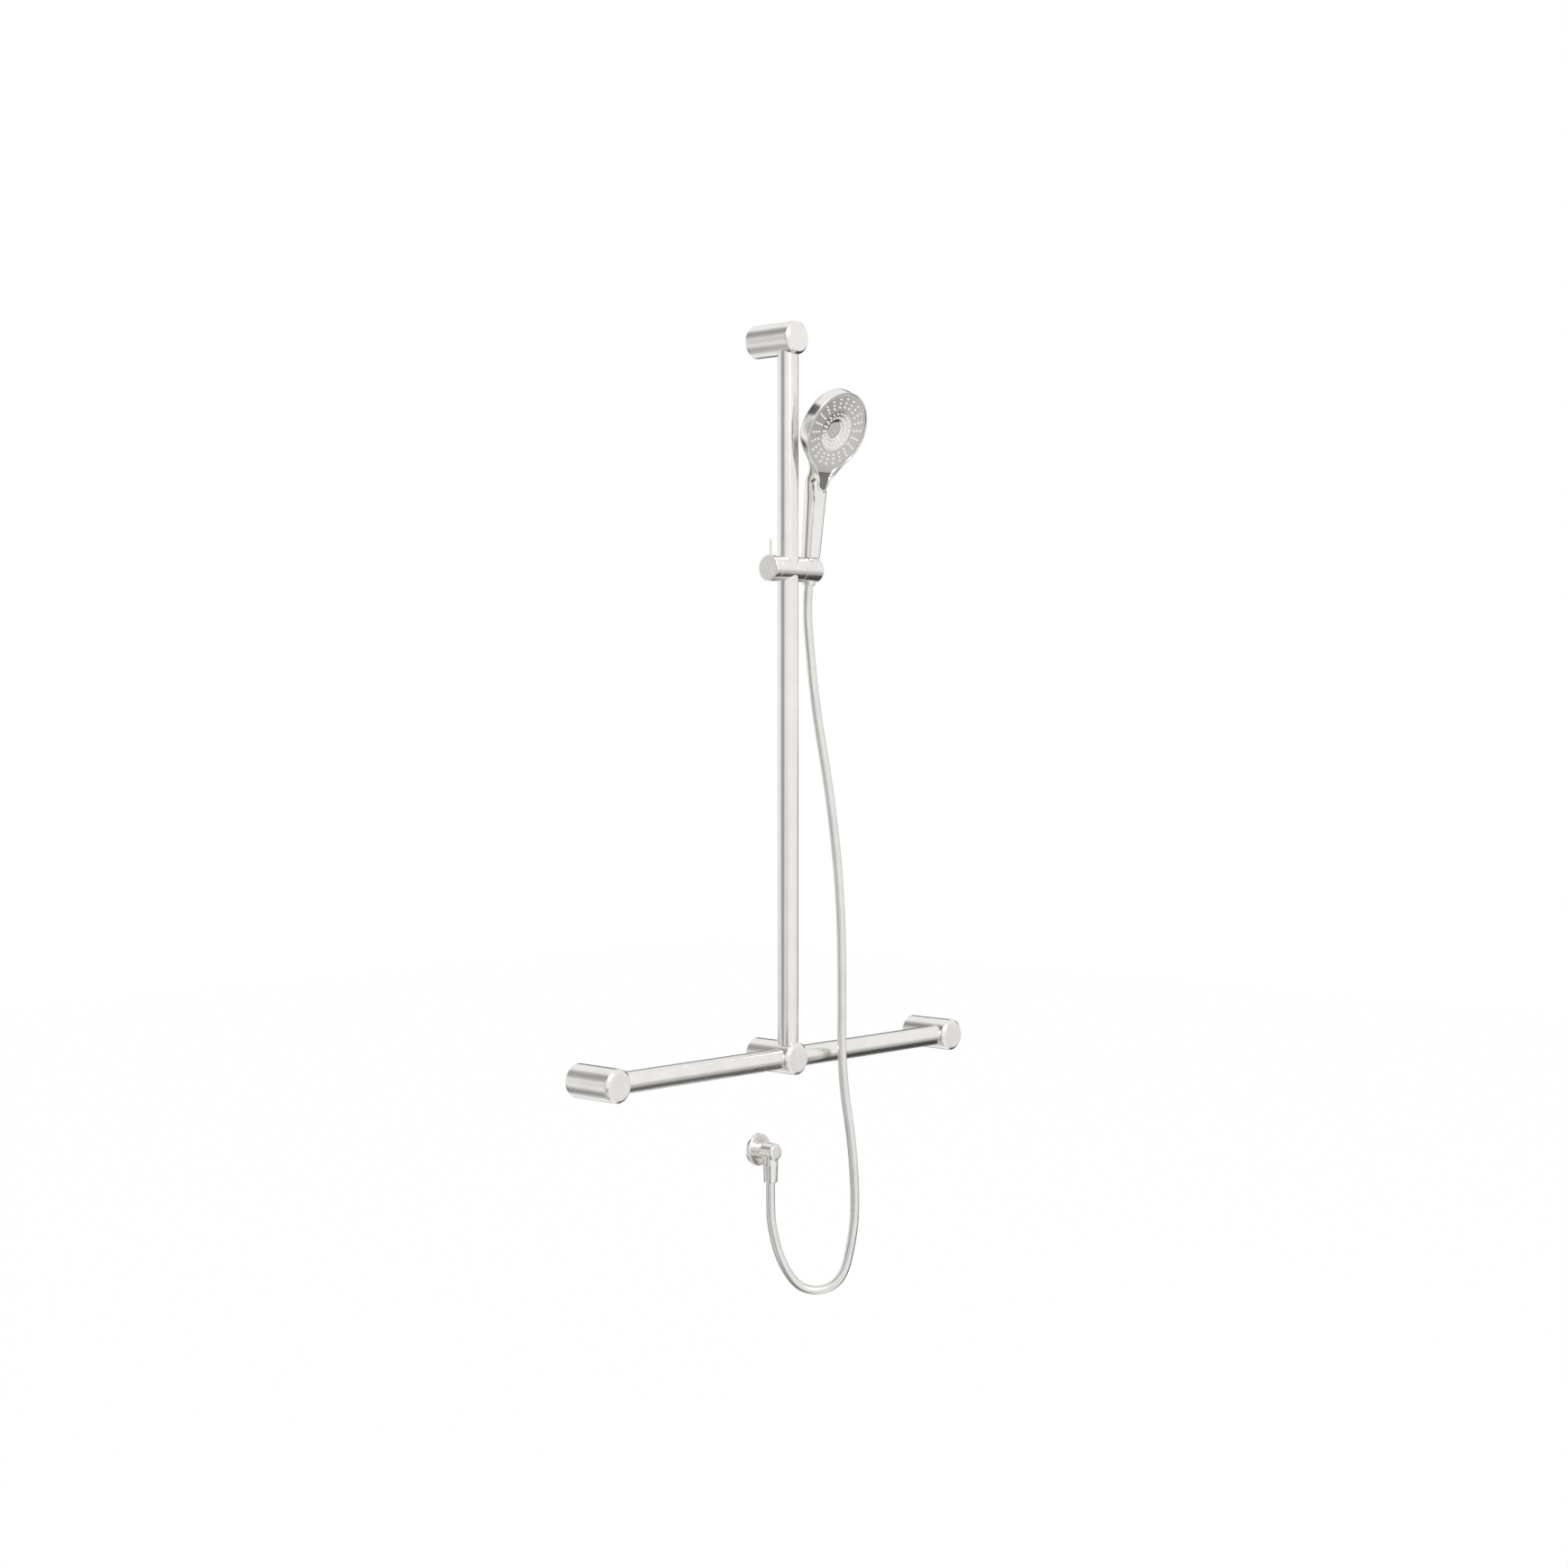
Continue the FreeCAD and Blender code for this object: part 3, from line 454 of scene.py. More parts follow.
def make(name, points, faces, brush=None, place=None):
    """A mesh object from points in millimetres, with its brushing lines in a UV map."""
    mesh = bpy.data.meshes.new(name)
    points = np.asarray(points, float) * MM
    mesh.from_pydata(points.tolist(), [], faces)
    if brush is not None:
        layer = mesh.uv_layers.new(name="brush")
        layer.data.foreach_set("uv", np.asarray(brush, np.float32).ravel() * MM)
    if place is not None:
        mesh.transform(in_metres(place))
    piece = bpy.data.objects.new(name, mesh)
    bpy.context.scene.collection.objects.link(piece)
    return piece


def tidy(piece, sharp=32.0):
    """Join doubled points, drop empty faces and loose edges, and shade smooth up to an angle."""
    work = bmesh.new()
    work.from_mesh(piece.data)
    bmesh.ops.remove_doubles(work, verts=work.verts, dist=2e-6)
    bmesh.ops.dissolve_degenerate(work, edges=work.edges, dist=1e-7)
    loose = [edge for edge in work.edges if not edge.link_faces]
    bmesh.ops.delete(work, geom=loose, context="EDGES")
    bmesh.ops.recalc_face_normals(work, faces=work.faces)
    work.to_mesh(piece.data)
    work.free()
    piece.data.polygons.foreach_set("use_smooth", [True] * len(piece.data.polygons))
    piece.data.set_sharp_from_angle(angle=radians(sharp))
    return piece


def skin(name, rows, place=None, lengthwise=False, closed=False):
    """Quads over rows of points that run round, with brushing round or along."""
    rows = np.asarray(rows, float)
    count, around = rows.shape[:2]
    steps = np.linalg.norm(np.diff(rows, axis=0), axis=2).max(axis=1)
    along = np.concatenate([[0], np.cumsum(steps)])
    girth = np.linalg.norm(np.diff(rows, axis=1), axis=2).sum(axis=1).max()
    faces, brush = [], []
    pairs = [(i, i + 1) for i in range(count - 1)]
    if closed:
        pairs.append((count - 1, 0))
    for i, k in pairs:
        for j in range(around):
            n = (j + 1) % around
            faces.append((i * around + j, i * around + n, k * around + n, k * around + j))
            v = along[i], along[i + 1] if k else along[i] + 1.0
            u = girth * j / around, girth * (j + 1) / around
            corners = [(u[0], v[0]), (u[1], v[0]), (u[1], v[1]), (u[0], v[1])]
            brush += [(b, a) for a, b in corners] if lengthwise else corners
    return make(name, rows.reshape(-1, 3), faces, brush, place)


def softened(profile, radius, closed, steps=4):
    """A profile with its corners rounded."""
    points = [np.array(p, float) for p in profile]
    result = []
    for k, p in enumerate(points):
        if not closed and k in (0, len(points) - 1):
            result.append(p)
            continue
        before, after = points[k - 1], points[(k + 1) % len(points)]
        a, b = before - p, after - p
        trim = min(radius, 0.4 * np.linalg.norm(a), 0.4 * np.linalg.norm(b))
        start = p + a / np.linalg.norm(a) * trim
        end = p + b / np.linalg.norm(b) * trim
        for t in np.linspace(0, 1, steps + 1):
            result.append((1 - t) ** 2 * start + 2 * t * (1 - t) * p + t * t * end)
    return result


def divided(points, longest, closed):
    """A profile with its long runs cut into shorter ones."""
    result = []
    ends = points[1:] + (points[:1] if closed else [])
    for p, q in zip(points, ends):
        parts = max(1, int(np.ceil(np.linalg.norm(q - p) / longest)))
        result += [p + (q - p) * k / parts for k in range(parts)]
    if not closed:
        result.append(points[-1])
    return result


def axis_place(at, axis):
    turn = Vector(UP).rotation_difference(Vector(axis)).to_matrix().to_4x4()
    return Matrix.Translation(at) @ turn


def lathe(name, profile, at, axis, soft=0.5, around=96, longest=8.0, lengthwise=False):
    """A turned piece from (radius, height) points; a profile that ends on its axis is open."""
    closed = profile[0][0] > 0
    points = divided(softened(profile, soft, closed), longest, closed)
    angles = np.linspace(0, 2 * pi, around, endpoint=False)
    rows = [[(r * cos(a), r * sin(a), h) for a in angles] for r, h in points]
    return tidy(skin(name, rows, axis_place(at, axis), lengthwise, closed))


def rod(radius, length, at, axis, around=96):
    return lathe("tool", [(0, 0), (radius, 0), (radius, length), (0, length)], at, axis, 0.0, around)


def rounded_end(r, n, edge):
    """Profile points of a rod's rounded end."""
    return [(r, n - edge), (r - 0.3 * edge, n - 0.3 * edge), (r - edge, n), (0, n)]


def prism(name, outline, low, high, place):
    """A straight prism over an outline in the plane of the spray face."""
    n = len(outline)
    points = [(x, y, low) for x, y in outline] + [(x, y, high) for x, y in outline]
    faces = [tuple(range(n))[::-1], tuple(range(n, 2 * n))]
    faces += [(k, (k + 1) % n, n + (k + 1) % n, n + k) for k in range(n)]
    return tidy(make(name, points, faces, np.zeros((6 * n, 2)), place))


def slab(profile):
    """A straight tool right across the handset over a side profile in the frame of the spray face."""
    n = len(profile)
    far = 2 * head_r
    points = [(x, s, z) for x in (-far, far) for s, z in profile]
    faces = [tuple(range(n)), tuple(range(n, 2 * n))[::-1]]
    faces += [(k, n + k, n + (k + 1) % n, (k + 1) % n) for k in range(n)]
    return tidy(make("tool", points, faces, np.zeros((6 * n, 2)), face))


def apply_changes(piece):
    """Turn a piece's modifiers into its mesh."""
    graph = bpy.context.evaluated_depsgraph_get()
    result = bpy.data.meshes.new_from_object(piece.evaluated_get(graph))
    piece.modifiers.clear()
    piece.data = result
    return tidy(piece)


def combine(piece, tools, operation="DIFFERENCE"):
    """Cut tools out of a piece, or join them to it, and take the tools away."""
    for tool in tools:
        change = piece.modifiers.new("change", "BOOLEAN")
        change.operation = operation
        change.solver = "EXACT"
        change.object = tool
    apply_changes(piece)
    for tool in tools:
        bpy.data.objects.remove(tool)
    return piece


def finish_of(piece, slot):
    piece.data.materials.clear()
    piece.data.materials.append(materials[slot])
    return piece


def dress(piece, slot, body):
    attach(finish_of(piece, slot), body)
    return piece


def stand_in(piece, node):
    """Let a fine mesh stand for a node of the model."""
    dress(piece, slot_of[node], body_of[node])
    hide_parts(node)
    return piece


# Rails and posts

def make_rails():
    inner = rail_r - rail_wall
    reach = post_span + rail_overrun
    height = riser_height + rail_overrun - riser_foot
    tubes = [
        ("grab_rail_tube", "horizontal_rail", 2 * reach, (-reach, rail_y, 0), RIGHT),
        ("riser_tube", "vertical_rail", height, (0, rail_y, riser_foot), UP),
    ]
    for name, node, length, at, axis in tubes:
        profile = [(inner, 0), (rail_r, 0), (rail_r, length), (inner, length)]
        stand_in(lathe(name, profile, at, axis, soft=0.3, around=128, longest=40, lengthwise=True), node)


def post(name, x, z, bores):
    """Round post with a chamfered front, open behind for its wall plate."""
    r, edge, n = post_r, post_chamfer, post_length
    profile = [(0, post_cavity), (plate_bore_r, post_cavity), (plate_bore_r, 0), (r, 0), (r, n - edge),
               (r - edge, n), (0, n)]
    piece = lathe(name + "_turned", profile, (x, 0, z), OUT, soft=0.5, around=144, longest=4.0)
    grub = rod(grub_hole_r, r, (x, -grub_from_wall, z), DOWN, 32)
    stand_in(combine(piece, bores + [grub]), name)


def make_posts():
    bore = rail_r + bore_gap
    deep = post_r + rail_overrun + bore_gap + tool_reach
    for name, side in (("left_post", -1), ("right_post", 1)):
        x = side * post_span
        at = (x + side * (rail_overrun + bore_gap), rail_y, 0)
        post(name, x, 0, [rod(bore, deep, at, LEFT if side > 0 else RIGHT, 128)])
    top = (0, rail_y, riser_height + rail_overrun + bore_gap)
    post("top_post", 0, riser_height, [rod(bore, deep, top, DOWN, 128)])
    start = -post_r - tool_reach
    through = rod(bore, -2 * start, (start, rail_y, 0), RIGHT, 128)
    socket = rod(bore, post_r, (0, rail_y, riser_foot), UP, 128)
    post("centre_post", 0, 0, [through, socket])


# Wall outlet

def make_flange():
    r, n, edge, hole = flange_r, flange_thickness, flange_edge, flange_bore_r
    profile = [(hole, 0), (r, 0), (r, n - edge), (r - edge, n), (hole, n)]
    stand_in(lathe("outlet_flange_turned", profile, (0, 0, outlet_z), OUT, soft=0.6, around=128),
             "outlet_flange")


def make_elbow():
    r, n, edge = elbow_r, elbow_length, elbow_round
    hole, deep = elbow_bore_r, elbow_bore_depth
    profile = [(0, deep), (hole, deep), (hole, 0), (r, 0), *rounded_end(r, n, edge)]
    body = lathe("outlet_elbow_turned", profile, (0, 0, outlet_z), OUT, soft=1.2, around=128, longest=2.0)
    profile = [(0, 0), (leg_r, 0), (leg_r, leg_shoulder), (thread_r, leg_shoulder), (thread_r, leg_length),
               (0, leg_length)]
    leg = lathe("leg", profile, (0, leg_y, outlet_z), DOWN, soft=0.0, longest=2.0)
    stand_in(combine(body, [leg], "UNION"), "outlet_elbow")


def make_outlet_nut():
    r, n, edge = nut_end_r, nut_length, nut_end_edge
    wide, narrow = leg_r + bore_gap, thread_r + bore_gap
    shoulder = leg_shoulder - nut_drop + bore_gap
    profile = [(wide, 0), (nut_top_r, 0), (r, n - edge), (r - edge, n), (nut_hole_r, n),
               (nut_hole_r, nut_seat), (narrow, nut_seat), (narrow, shoulder), (wide, shoulder)]
    stand_in(lathe("outlet_nut_turned", profile, (0, leg_y, outlet_z - nut_drop), DOWN), "hose_outlet_nut")


# Slider and holder

def on_barrel(x):
    return (x, rail_y, slider_z)


def make_slider():
    n = body_right - body_left
    end = n + spigot_length
    outer = softened([(0, 0), (barrel_r, 0), (barrel_r, n), (spigot_r, n)], 0.6, False)
    profile = outer + [(spigot_r, end), (0, end)]
    barrel = lathe("slider_barrel", profile, on_barrel(body_left), RIGHT, soft=0.0, around=144, longest=2.5)
    r, wide, half, far = slider_bore_r, groove_r, groove_half, bore_reach
    profile = [(0, -far), (r, -far), (r, -half), (wide, -half), (wide, half), (r, half), (r, far), (0, far)]
    bore = lathe("tool", profile, on_barrel(0), UP, soft=0.0, around=128)
    profile = [(0, stud_bore_start), (stud_bore_r, stud_bore_start), (stud_bore_r, pad_bore_start),
               (pad_bore_r, pad_bore_start), (pad_bore_r, 0), (0, 0)]
    stud = lathe("tool", profile, on_barrel(0), RIGHT, soft=0.0, around=48)
    bolt = rod(bolt_bore_r, bolt_bore_length, on_barrel(bolt_bore_start), RIGHT, 48)
    stand_in(combine(barrel, [bore, stud, bolt]), "slider_body")


def make_clamp():
    r, t, back, front = knob_r, knob_thickness, knob_back_edge, knob_front_edge
    profile = [(0, 0), (r - back, 0), (r, back), (r, t - front), (r - front, t), (0, t)]
    knob = lathe("knob_turned", profile, on_barrel(knob_right), LEFT, soft=0.4, around=144, longest=3.0)
    bore = rod(knob_bore_r, knob_bore_depth, on_barrel(knob_right + overlap), LEFT, 48)
    stand_in(combine(knob, [bore]), "clamp_knob")
    foot = (knob_right - t / 2, rail_y, slider_z + pin_root)
    r, n, tip = pin_r, pin_top - pin_root, pin_tip
    profile = [(0, 0), (r, 0), (r, n - tip), (r - 0.35 * tip, n - 0.3 * tip), (0, n)]
    stand_in(lathe("pin_turned", profile, foot, UP, around=48, longest=4.0, lengthwise=True), "lever_pin")


def cone_radius(z):
    share = (cone_top - z) / (cone_top - cone_bottom)
    return cone_top_r + (cone_bottom_r - cone_top_r) * share


def make_holder():
    n = holder_right - holder_left
    profile = [(0, 0), (barrel_r, 0), *rounded_end(barrel_r, n, holder_round)]
    barrel = lathe("holder_barrel", profile, on_barrel(holder_left), RIGHT, around=144, longest=2.5)
    far, half = socket_reach, hose_slot / 2
    low_r, high_r = cone_radius(-far) + seat_gap, cone_radius(far) + seat_gap
    profile = [(0, -far), (low_r, -far), (high_r, far), (0, far)]
    cone = lathe("tool", profile, (0, 0, 0), UP, soft=0.0, around=128)
    outline = [(0, -half), (slot_reach, -half), (slot_reach, half), (0, half)]
    slot = prism("tool", outline, -far, far, Matrix())
    for tool in (cone, slot):
        tool.data.transform(in_metres(hand))
    hole, deep = spigot_r + bore_gap, spigot_length + bore_gap
    profile = [(0, 0), (washer_bore_r, 0), (washer_bore_r, washer_bore_depth), (hole, washer_bore_depth),
               (hole, deep), (bolt_bore_r, deep), (bolt_bore_r, bolt_head_seat),
               (bolt_head_r, bolt_head_seat), (bolt_head_r, bolt_head_end), (0, bolt_head_end)]
    well = lathe("tool", profile, on_barrel(body_right), RIGHT, soft=0.0)
    stand_in(combine(barrel, [cone, slot, well]), "handset_holder")


def make_cone_nut():
    edge, top, bottom = cone_nut_edge, cone_top, cone_bottom
    profile = [(cone_nut_bore_r, cone_nut_shoulder), (cone_nut_bore_r, top), (cone_top_r - edge, top),
               (cone_radius(top - edge), top - edge), (cone_radius(bottom + edge), bottom + edge),
               (cone_bottom_r - edge, bottom), (cone_nut_mouth_r, bottom),
               (cone_nut_mouth_r, cone_nut_shoulder)]
    nut = lathe("cone_nut_turned", profile, (0, 0, 0), UP, soft=0.3, around=128)
    nut.data.transform(in_metres(hand))
    stand_in(nut, "hose_cone_nut")


# Handset outlines, in the plane of the spray face

def blend_centre(circle_r, tail_r, blend_r):
    x = tail_r + blend_r
    return x, -sqrt((circle_r + blend_r) ** 2 - x ** 2)


def half_width(s):
    x, low = blend_centre(head_r, handle_top_r, neck_blend_r)
    touch = low * head_r / (head_r + neck_blend_r)
    if s > touch:
        return sqrt(max(head_r ** 2 - s ** 2, 0))
    if s < low:
        return handle_top_r
    return x - sqrt(neck_blend_r ** 2 - (s - low) ** 2)


def arc(centre, radius, start, end, count):
    angles = np.linspace(start, end, count)
    return [(centre[0] + radius * cos(a), centre[1] + radius * sin(a)) for a in angles]


def teardrop(inset, end):
    """Outline of the plate and the button below it, drawn in by an inset."""
    circle_r = head_r - rim_width
    x, low = blend_centre(circle_r, plate_tail_r, plate_blend_r)
    arc_r = plate_blend_r + inset
    r = circle_r - inset
    slope = asin((end - low) / arc_r)
    foot_x = x - arc_r * cos(slope)
    foot_r = foot_x / cos(slope)
    middle = end + foot_x * tan(slope)
    touch = asin(-low / (circle_r + plate_blend_r))
    right = arc((x, low), arc_r, pi - slope, pi - touch, 24)
    top = arc((0, 0), r, -touch, pi + touch, 120)
    left = [(-a, b) for a, b in right[::-1]]
    bottom = arc((0, middle), foot_r, pi + slope, 2 * pi - slope, 24)
    return right[:-1] + top[:-1] + left[:-1] + bottom[:-1]


def clipped(outline, low, high):
    """The part of an outline between two heights."""
    for limit, sign in ((low, 1), (high, -1)):
        kept = []
        for k, p in enumerate(outline):
            q = outline[(k + 1) % len(outline)]
            a, b = sign * (p[1] - limit), sign * (q[1] - limit)
            if a >= 0:
                kept.append(p)
            if a * b < 0:
                share = a / (a - b)
                kept.append((p[0] + share * (q[0] - p[0]), limit))
        outline = kept
    return outline


def section(middle_y, middle_z, lean, width, front, back, front_square, back_square):
    out = np.array((0, -cos(radians(lean)), -sin(radians(lean))))
    points = []
    for k in range(section_points):
        angle = 2 * pi * k / section_points
        c, s = cos(angle), sin(angle)
        reach, square = (front, front_square) if s > 0 else (-back, back_square)
        across = width * abs(c) ** (2 / square) * (1 if c > 0 else -1)
        depth = reach * abs(s) ** (2 / square)
        points.append(np.array((across, middle_y, middle_z)) + out * depth)
    return points


def head_section(s, front, back, spine, front_square, back_square, lean):
    t = radians(head_tilt)
    y = -face_forward - s * sin(t) + spine * cos(t)
    z = face_height + s * cos(t) + spine * sin(t)
    return section(y, z, lean, half_width(s), front, back, front_square, back_square)


def smooth_rows(rows, between):
    """Rows through the given ones on smooth cubic curves, more where more is asked."""
    rows = np.asarray(rows, float)
    steps = np.linalg.norm(np.diff(rows.mean(axis=1), axis=0), axis=1)
    at = np.concatenate([[0], np.cumsum(steps)])
    slopes = np.empty_like(rows)
    slopes[0] = (rows[1] - rows[0]) / steps[0]
    slopes[-1] = (rows[-1] - rows[-2]) / steps[-1]
    for k in range(1, len(rows) - 1):
        a, b = steps[k - 1], steps[k]
        slopes[k] = ((rows[k] - rows[k - 1]) / a * b + (rows[k + 1] - rows[k]) / b * a) / (a + b)
    result = []
    for k in range(len(rows) - 1):
        h = at[k + 1] - at[k]
        for t in np.linspace(0, 1, between[k], endpoint=False):
            a, b = (1 + 2 * t) * (1 - t) ** 2, t * (1 - t) ** 2
            c, d = t * t * (3 - 2 * t), t * t * (t - 1)
            result.append(a * rows[k] + b * h * slopes[k] + c * rows[k + 1] + d * h * slopes[k + 1])
    result.append(rows[-1])
    return result


def handset_body():
    """Handle and head in one smooth skin."""
    straight = face_height - neck_drop - handle_bottom
    rows = []
    for share in handle_shares:
        r = handle_bottom_r + share * (handle_top_r - handle_bottom_r)
        rows.append(section(0, handle_bottom + share * straight, 0, r, r, r, 2, 2))
    rows += [head_section(s, *sizes) for s, sizes in neck_sections]
    rows += [head_section(share * head_r, *sizes, head_tilt) for share, sizes in head_sections]
    fine = smooth_rows(rows, section_steps)
    r = handle_bottom_r - handle_edge
    edge = np.array(section(0, handle_bottom, 0, r, r, r, 2, 2))
    foot = np.repeat([[0, 0, handle_bottom]], section_points, axis=0)
    crown = np.repeat([np.mean(fine[-1], axis=0) + crown_rise], section_points, axis=0)
    lifted = fine[0] + np.array((0, 0, handle_edge))
    return tidy(skin("handset_shell_form", [foot, edge, lifted] + fine[1:] + [crown], hand, True), 40)


def make_shell():
    """Shell with the bed of the plate and the pocket of the button; gives back its outside."""
    body = handset_body()
    far = 2 * head_r
    in_front = slab([(far, 0), *shoulder_line, (shoulder_line[-1][0] - shoulder_run, far), (far, far)])
    bed = prism("tool", clipped(teardrop(0, button_end), button_top, far), -bed_depth, far, face)
    pocket = teardrop(pocket_inset, button_end)
    upper = clipped(pocket, button_step, button_top + overlap)
    lower = clipped(pocket, -far, button_step + overlap)
    deep = prism("tool", upper, -pocket_depth, far, face)
    tail = prism("tool", lower, -pocket_tail_depth, far, face)
    inlet = rod(inlet_r, inlet_depth, (0, 0, handle_bottom - overlap), UP)
    inlet.data.transform(in_metres(hand))
    body = combine(body, [in_front])
    outside = BVHTree.FromPolygons([v.co for v in body.data.vertices],
                                   [tuple(p.vertices) for p in body.data.polygons])
    stand_in(combine(body, [bed, deep, tail, inlet]), "handset_shell")
    return outside


def make_rim(outside):
    """Rounded bright lip round the plate and the button, lying on the shell."""
    beside_plate = np.array(teardrop(-rim_lip, button_end))
    beside_button = np.array(teardrop(pocket_inset - button_lip - lip_clear, button_end))
    fall = np.clip((button_top - lip_turn_start - beside_plate[:, 1]) / lip_turn_length, 0, 1)
    fall = fall * fall * (3 - 2 * fall)
    outline = beside_plate + fall[:, None] * (beside_button - beside_plate)
    widths = rim_lip + fall * (button_lip - rim_lip)
    seat = in_metres(face)
    back = seat.inverted()
    down = seat.to_3x3() @ Vector(DOWN)
    line = []
    for x, y in outline:
        start = seat @ (Vector((x, y, lip_drop_from)) * MM)
        hit = outside.ray_cast(start, down)[0]
        line.append(np.array(back @ hit) / MM)
    line = np.array(line)
    ahead = np.roll(line, -1, axis=0) - np.roll(line, 1, axis=0)
    ahead /= np.linalg.norm(ahead, axis=1)[:, None]
    turns = np.linspace(0, 2 * pi, rim_lip_points, endpoint=False)
    rows = []
    for p, a, width in zip(line, ahead, widths):
        side = np.cross(a, UP)
        side /= np.linalg.norm(side)
        up = np.cross(side, a)
        rows.append([p + side * width * cos(t) + up * rim_lip_height * sin(t) for t in turns])
    rim = tidy(skin("handset_rim_lip", rows, face, lengthwise=True, closed=True), 60)
    dress(rim, "plated_plastic", "handset")


# Spray face

def dish_level(r):
    """Height of the plate at a radius: flat rim, shallow dish, then a steeper funnel."""
    dish_share = (dish_r - r) / (dish_r - funnel_r)
    funnel_share = (funnel_r - r) / (funnel_r - ring_r)
    fall = dish_depth * min(max(dish_share, 0), 1) + funnel_depth * min(max(funnel_share, 0), 1)
    return -plate_recess - fall


def edge_distance(outline, angle):
    """Distance from the middle to an outline in one direction."""
    c, s = cos(angle), sin(angle)
    best = 0.0
    for k, p in enumerate(outline):
        q = outline[(k + 1) % len(outline)]
        dx, dy = q[0] - p[0], q[1] - p[1]
        det = c * -dy + dx * s
        if abs(det) < 1e-9:
            continue
        reach = (p[0] * -dy + dx * p[1]) / det
        share = (c * p[1] - s * p[0]) / det
        if reach > 0 and -1e-6 <= share <= 1 + 1e-6:
            best = max(best, reach)
    return best


def make_plate():
    outline = clipped(teardrop(plate_gap, button_end), button_top + plate_gap, 2 * head_r)
    angles = np.linspace(0, 2 * pi, plate_points, endpoint=False)
    edges = [edge_distance(outline, a) for a in angles]
    inner = ring_r + plate_gap
    low = dish_level(inner + 0.5)
    steps = [(inner, -plate_skirt), (inner, low - 0.5), (inner + 0.15, low - 0.15), (inner + 0.5, low)]
    steps += [(r, dish_level(r)) for r in np.linspace(inner + 1, funnel_r - 1, 14)]
    steps += [(funnel_r - 0.3, dish_level(funnel_r) - 0.06), (funnel_r + 0.3, dish_level(funnel_r + 0.3))]
    steps += [(r, dish_level(r)) for r in np.linspace(funnel_r + 1, dish_r - 1, 18)]
    steps += [(dish_r - 0.4, -plate_recess - 0.02), (dish_r + 0.3, -plate_recess + 0.02)]
    rows = [[(r * cos(a), r * sin(a), h) for a in angles] for r, h in steps]
    for share, h in plate_rim:
        reaches = [dish_r + share * (edge - dish_r) for edge in edges]
        rows.append([(r * cos(a), r * sin(a), h - plate_recess) for a, r in zip(angles, reaches)])
    stand_in(tidy(skin("spray_plate_face", rows, face), 50), "spray_plate")


def make_nozzles():
    """Soft nozzles with a rounded rim and a dark bore."""
    r, h, bore, count = nozzle_r, nozzle_height, nozzle_bore_r, nozzle_points
    profile = [(0, -nozzle_root), (r, -nozzle_root), (r, 0.4 * h), (0.97 * r, 0.65 * h), (0.87 * r, 0.88 * h),
               (0.7 * r, h), (bore + 0.12, 0.96 * h), (bore + 0.04, 0.7 * h), (bore, 0.2 * h), (0, 0.2 * h)]
    places = []
    for k in range(nozzle_spokes):
        angle = radians(nozzle_turn) + 2 * pi * k / nozzle_spokes
        places += [(row, angle) for row in nozzle_rows]
    around = np.linspace(0, 2 * pi, count, endpoint=False)
    points, faces = [], []
    for row, angle in places:
        base = len(points)
        middle = np.array((row * cos(angle), row * sin(angle), dish_level(row)))
        for radius, height in profile:
            points += [middle + (radius * cos(a), radius * sin(a), height) for a in around]
        for i in range(len(profile) - 1):
            a, b = base + i * count, base + (i + 1) * count
            for j in range(count):
                n = (j + 1) % count
                faces.append((a + j, a + n, b + n, b + j))
    nozzles = make("spray_nozzles", points, faces, np.zeros((4 * len(faces), 2)), face)
    stand_in(tidy(nozzles, 40), "nozzle_mat")


def make_centre():
    """Sloped ring and flat disc in the middle of the face."""
    top = dish_level(ring_r)
    low = top - ring_drop
    inner = disc_r + plate_gap
    root, dimple = -centre_depth, low - dimple_depth
    profile = [(inner, root), (ring_r, root), (ring_r, top), (inner, low)]
    ring = lathe("spray_centre_cone", profile, (0, 0, 0), UP, soft=0.3, around=144, longest=1.0)
    profile = [(0, root), (disc_r, root), (disc_r, low), (dimple_r, low), (dimple_r - 0.2, dimple),
               (0, dimple)]
    disc = lathe("spray_centre_button", profile, (0, 0, 0), UP, soft=0.4, longest=1.5)
    for piece, node in ((ring, "spray_centre_ring"), (disc, "spray_centre_disc")):
        piece.data.transform(in_metres(face))
        stand_in(piece, node)


def make_button():
    """Dark teardrop button: flush with the face above, following the handle's front below."""
    far = 2 * head_r
    outline = teardrop(pocket_inset + button_gap, button_end)
    step = button_step + button_gap
    upper = prism("mode_button_form", clipped(outline, step, button_top - button_gap), button_low, far, face)
    lower = prism("tool", clipped(outline, -far, step + overlap), button_tail_low, far, face)
    body = combine(upper, [lower], "UNION")
    steepness = (button_slope_end - button_rise) / (button_top - button_end)
    end = button_rise + steepness * (far + button_top)
    over = slab([(button_top + 1, button_rise - steepness), (-far, end), (-far, 2 * far),
                 (button_top + 1, 2 * far)])
    body = combine(body, [over])
    soft = body.modifiers.new("soft", "BEVEL")
    soft.width = button_soft * MM
    soft.segments = 3
    soft.limit_method = "ANGLE"
    soft.angle_limit = radians(40)
    stand_in(apply_changes(body), "mode_button")


# Hose

def hose_line():
    """Points along the smooth curve of the route."""
    curve = bpy.data.curves.new("hose_route", "CURVE")
    curve.dimensions = "3D"
    spline = curve.splines.new("NURBS")
    spline.points.add(len(hose_route) - 1)
    for point, p in zip(spline.points, hose_route):
        point.co = (*(Vector(p) * MM), 1)
    spline.order_u = 3
    spline.use_endpoint_u = True
    spline.resolution_u = 24
    holder = bpy.data.objects.new("hose_route", curve)
    bpy.context.scene.collection.objects.link(holder)
    graph = bpy.context.evaluated_depsgraph_get()
    mesh = bpy.data.meshes.new_from_object(holder.evaluated_get(graph))
    line = np.array([v.co for v in mesh.vertices])
    bpy.data.objects.remove(holder)
    return line / MM


